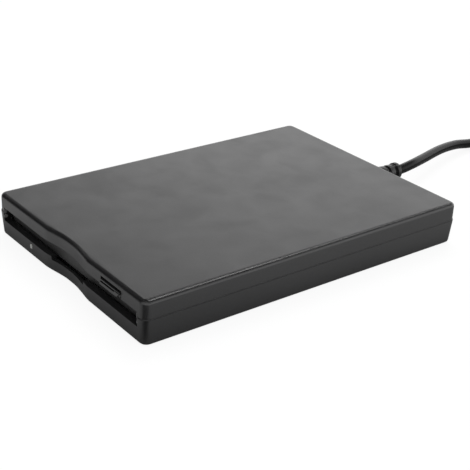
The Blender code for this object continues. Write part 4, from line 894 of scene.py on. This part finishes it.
# what a plastic or a metal doesn't say of itself
plasticBase = {"gloss": 0.5, "patches": 0.2, "pits": 3.0, "ripple": 0.5, "rippleShare": 0.3,
               "depth": 0.003 * mm, "speckle": 1.2, "edgeRadius": 0.2 * mm, "edgeShare": 0.4,
               "edgeColour": grey(0.07), "dust": 0.0, "dustColour": (0.3, 0.29, 0.28)}
metalBase = {"depth": 0.001 * mm, "edgeRadius": 0.2 * mm, "edgeShare": 0.4, "edgeLift": 1.25}
plastics = {
    "caseBlack": {"colour": (0.0055, 0.0055, 0.0058), "gloss": 0.7, "sheen": (0.3, 0.37), "patches": 0.09,
                  "pits": 1.9, "ripple": 0.35, "rippleShare": 0.25, "depth": 0.0055 * mm, "speckle": 1.8,
                  "edgeRadius": 0.3 * mm, "edgeShare": 0.5, "edgeColour": grey(0.03), "dust": 0.02},
    "buttonBlack": {"colour": grey(0.007), "gloss": 0.8, "sheen": (0.28, 0.34), "ripple": 0.6,
                    "rippleShare": 0.2, "depth": 0.002 * mm, "speckle": 1.3, "edgeRadius": 0.25 * mm,
                    "edgeShare": 0.7, "edgeColour": grey(0.05), "dust": 0.02},
    "flapGrey": {"colour": grey(0.03), "sheen": (0.42, 0.5), "dust": 0.03},
    "slotGrey": {"colour": grey(0.085), "sheen": (0.45, 0.55), "patches": 0.6, "ripple": 0.8,
                 "depth": 0.006 * mm, "speckle": 1.3, "edgeRadius": 0.1 * mm, "edgeShare": 0.5,
                 "edgeColour": grey(0.1)},
    "tieBlack": {"colour": grey(0.012), "gloss": 0.4, "sheen": (0.35, 0.5), "patches": 0.4, "ripple": 0.8,
                 "rippleShare": 0.5, "depth": 0.01 * mm, "speckle": 1.5, "edgeRadius": 0.1 * mm,
                 "edgeColour": grey(0.05), "dust": 0.05},
    "innerBlack": {"colour": (0.02, 0.02, 0.021), "sheen": (0.4, 0.48)},
    "jacketBlack": {"colour": grey(0.008), "sheen": (0.3, 0.38), "patches": 0.15, "pits": 2.5, "ripple": 0.4,
                    "rippleShare": 0.5, "depth": 0.006 * mm, "speckle": 1.4, "edgeShare": 0.3,
                    "edgeColour": grey(0.04), "dust": 0.04},
    "cableBlack": {"colour": grey(0.006), "gloss": 0.11, "sheen": (0.2, 0.27), "patches": 0.15, "pits": 2.5,
                   "ripple": 0.4, "rippleShare": 0.5, "depth": 0.005 * mm, "speckle": 1.4, "edgeShare": 0.3,
                   "edgeColour": grey(0.03), "dust": 0.02},
    "footRubber": {"colour": grey(0.014), "gloss": 0.3, "sheen": (0.6, 0.75), "patches": 0.3, "pits": 2.0,
                   "rippleShare": 0.4, "depth": 0.015 * mm, "speckle": 1.6, "edgeShare": 0.6,
                   "edgeColour": grey(0.05), "dust": 0.1},
    "switchWhite": {"colour": (0.75, 0.74, 0.7), "sheen": (0.3, 0.4), "patches": 0.4, "ripple": 0.6,
                    "depth": 0.002 * mm, "speckle": 0.96, "edgeRadius": 0.1 * mm, "edgeShare": 0.3,
                    "edgeColour": (0.85, 0.84, 0.8)},
    "headCeramic": {"colour": (0.72, 0.71, 0.67), "gloss": 0.7, "sheen": (0.12, 0.2), "patches": 0.4,
                    "pits": 5.0, "ripple": 1.0, "depth": 0.001 * mm, "speckle": 0.93, "edgeRadius": 0.1 * mm,
                    "edgeShare": 0.2, "edgeColour": (0.8, 0.79, 0.76)},
}
metals = {
    "zincSteel": {"colour": (0.56, 0.56, 0.55), "second": (0.66, 0.66, 0.65), "lines": 5.0,
                  "sheen": (0.28, 0.42), "patches": 0.35},
    "darkScrew": {"colour": (0.32, 0.32, 0.33), "second": (0.4, 0.4, 0.41), "lines": 8.0,
                  "sheen": (0.3, 0.45), "patches": 0.8},
    "bushBrass": {"colour": (0.62, 0.43, 0.18), "second": (0.7, 0.5, 0.23), "lines": 8.0,
                  "sheen": (0.2, 0.32), "patches": 0.5},
    "plugSteel": {"colour": (0.62, 0.62, 0.61), "second": (0.7, 0.7, 0.69), "lines": 9.0,
                  "sheen": (0.16, 0.26), "patches": 0.3, "depth": 0.0006 * mm},
}
finishes = {name: makePlastic(name, {**plasticBase, **setup}) for name, setup in plastics.items()}
finishes.update({name: makeMetal(name, {**metalBase, **setup}) for name, setup in metals.items()})


# windings, boards, film, lamp and light pipe are one-off materials
winding = {"copper": (0.5, 0.21, 0.09), "lacquer": (0.3, 0.1, 0.04), "wiresPerMm": 4.0, "waveScale": 0.3,
           "waver": 1.5, "metallic": 0.85, "patches": 0.5, "sheen": (0.22, 0.38), "depth": 0.03 * mm}
laminate = {"mask": (0.012, 0.09, 0.04), "track": (0.03, 0.17, 0.075), "tracksPerMm": 0.7, "gap": 0.12,
            "brick": (3.0, 0.7), "patches": 0.2, "sheen": (0.2, 0.35),
            "pits": 4.0, "ripple": 1.0, "rippleShare": 0.3, "depth": 0.004 * mm}
filmSetup = {"amber": (0.5, 0.22, 0.04), "track": (0.28, 0.1, 0.02), "tracksPerMm": 2.0, "waveScale": 0.5,
             "patches": 0.3, "sheen": (0.15, 0.3)}
clearBase = {"pits": 3.0, "ripple": 1.0, "rippleShare": 0.4, "speckle": 0.88, "patches": 0.8,
             "depth": 0.003 * mm}
clears = {
    "clearPipe": {"colour": (0.36, 0.365, 0.35), "sheen": (0.3, 0.45)},
    "lampLens": {"colour": (0.55, 0.75, 0.45), "sheen": (0.15, 0.3)},
}


def makeWinding(setup):
    material, tree, shader = startMaterial("copperWinding")
    wires = addNode(tree, "ShaderNodeTexWave", {
        "Vector": scaledPlace(tree, setup["wiresPerMm"]), "Scale": setup["waveScale"],
        "Distortion": setup["waver"], "Detail": 1.0},
        wave_type="RINGS", rings_direction="Z").outputs["Fac"]
    tree.links.new(mixColour(tree, wires, setup["lacquer"], setup["copper"]), shader.inputs["Base Color"])
    shader.inputs["Metallic"].default_value = setup["metallic"]
    addSheen(tree, shader, setup)
    addBump(tree, shader, wires, setup["depth"])
    return material


def makeLaminate(setup):
    material, tree, shader = startMaterial("greenLaminate")
    tracks = addNode(tree, "ShaderNodeTexBrick", {
        "Vector": scaledPlace(tree, setup["tracksPerMm"]), "Color1": (1, 1, 1, 1), "Color2": (1, 1, 1, 1),
        "Mortar": (0, 0, 0, 1), "Scale": 1.0, "Mortar Size": setup["gap"], "Brick Width": setup["brick"][0],
        "Row Height": setup["brick"][1]}).outputs["Color"]
    tree.links.new(mixColour(tree, tracks, setup["mask"], setup["track"]), shader.inputs["Base Color"])
    addSheen(tree, shader, setup)
    addBump(tree, shader, addGrain(tree, setup)["Height"], setup["depth"])
    return material


def makeFilm(setup):
    material, tree, shader = startMaterial("amberFilm")
    tracks = addNode(tree, "ShaderNodeTexWave", {
        "Vector": scaledPlace(tree, setup["tracksPerMm"]), "Scale": setup["waveScale"]},
        bands_direction="Z").outputs["Fac"]
    tree.links.new(mixColour(tree, tracks, setup["amber"], setup["track"]), shader.inputs["Base Color"])
    addSheen(tree, shader, setup)
    return material


def makeClear(name, setup):
    material, tree, shader = startMaterial(name)
    grain = addGrain(tree, setup)
    colour = mixColour(tree, grain["Speckle"], setup["colour"],
                       tuple(c * setup["speckle"] for c in setup["colour"]))
    tree.links.new(colour, shader.inputs["Base Color"])
    addSheen(tree, shader, setup)
    addBump(tree, shader, grain["Height"], setup["depth"])
    return material


finishes["copperWinding"] = makeWinding(winding)
finishes["greenLaminate"] = makeLaminate(laminate)
finishes["amberFilm"] = makeFilm(filmSetup)
finishes.update({name: makeClear(name, {**clearBase, **setup}) for name, setup in clears.items()})

# the finish of each node; the others are of zincSteel
nodeFinish = {
    "caseBlack": ["top_cover", "bottom_cover"],
    "buttonBlack": ["eject_button"],
    "flapGrey": ["dust_flap"],
    "innerBlack": ["head_carriage", "head_arm", "write_protect_switch", "density_switch", "disk_in_switch"],
    "jacketBlack": ["plug_grip", "strain_relief", "inner_leads", "usb_cord", "cord_coil", "plug_cord"],
    "footRubber": ["foot_1", "foot_2", "foot_3", "foot_4"],
    "switchWhite": ["write_protect_plunger", "density_plunger", "disk_in_plunger", "plug_tongue"],
    "headCeramic": ["lower_head", "upper_head"],
    "darkScrew": ["case_screw_1", "case_screw_2"],
    "bushBrass": ["spindle_bush"],
    "plugSteel": ["plug_shell"],
    "copperWinding": ["stator"],
    "greenLaminate": ["spindle_board", "main_board", "usb_board"],
    "amberFilm": ["head_cable"],
    "clearPipe": ["light_pipe"],
    "lampLens": ["indicator_light"],
}


def dress(piece, finishName):
    piece.data.materials.clear()
    piece.data.materials.append(finishes[finishName])


finishOf = {name: finishName for finishName, names in nodeFinish.items() for name in names}
for name, node in nodes.items():
    dress(node, finishOf.get(name, "zincSteel"))
for piece, finishName in freshPieces.items():
    dress(piece, finishName)
print("materials made:", len(finishes))


# rounded edges
roundEdges = {
    "button": {"width": 0.12 * mm, "segments": 3, "pieces": [ejectButton]},
    "small": {"width": 0.04 * mm, "segments": 2, "pieces": slotPads + list(onLead.values())},
    "plastic": {"width": 0.18 * mm, "segments": 3,
                "nodes": ["top_cover", "bottom_cover", "dust_flap", "light_pipe", "head_carriage",
                          "head_arm"]},
    "sheet": {"width": 0.08 * mm, "segments": 2,
              "nodes": ["drive_frame", "drive_shield", "eject_slider", "disk_carrier", "shutter_lever",
                        "head_bracket", "plug_shell", "plug_tongue", "case_screw_1", "case_screw_2",
                        "drive_screw_1", "drive_screw_2", "drive_screw_3", "drive_screw_4", "spindle_rotor",
                        "stepper_motor", "foot_1", "foot_2", "foot_3", "foot_4", "write_protect_switch",
                        "density_switch", "disk_in_switch", "indicator_light"]},
}
edgeSetup = {"angle": 40, "faceWeight": 80}


def makeSmoothGroup():
    tree = bpy.data.node_groups.new("shadeSmooth", "GeometryNodeTree")
    tree.interface.new_socket("Geometry", in_out="INPUT", socket_type="NodeSocketGeometry")
    tree.interface.new_socket("Geometry", in_out="OUTPUT", socket_type="NodeSocketGeometry")
    source = tree.nodes.new("NodeGroupInput")
    smooth = tree.nodes.new("GeometryNodeSetShadeSmooth")
    result = tree.nodes.new("NodeGroupOutput")
    tree.links.new(source.outputs[0], smooth.inputs[0])
    tree.links.new(smooth.outputs[0], result.inputs[0])
    return tree


smoothGroup = makeSmoothGroup()


def roundPiece(piece, width, segments):
    weld = piece.modifiers.new("weld", "WELD")
    weld.merge_threshold = weldDistance
    bevel = piece.modifiers.new("roundedEdges", "BEVEL")
    bevel.width = width
    bevel.segments = segments
    bevel.limit_method = "ANGLE"
    bevel.angle_limit = math.radians(edgeSetup["angle"])
    bevel.use_clamp_overlap = True
    smooth = piece.modifiers.new("smooth", "NODES")
    smooth.node_group = smoothGroup
    level = piece.modifiers.new("flatFaces", "WEIGHTED_NORMAL")
    level.keep_sharp = False
    level.weight = edgeSetup["faceWeight"]


for setup in roundEdges.values():
    for piece in setup.get("pieces", []) + [nodes[name] for name in setup.get("nodes", [])]:
        roundPiece(piece, setup["width"], setup["segments"])
print("edges rounded")

scene.view_settings.view_transform = "Standard"
bpy.context.view_layer.update()
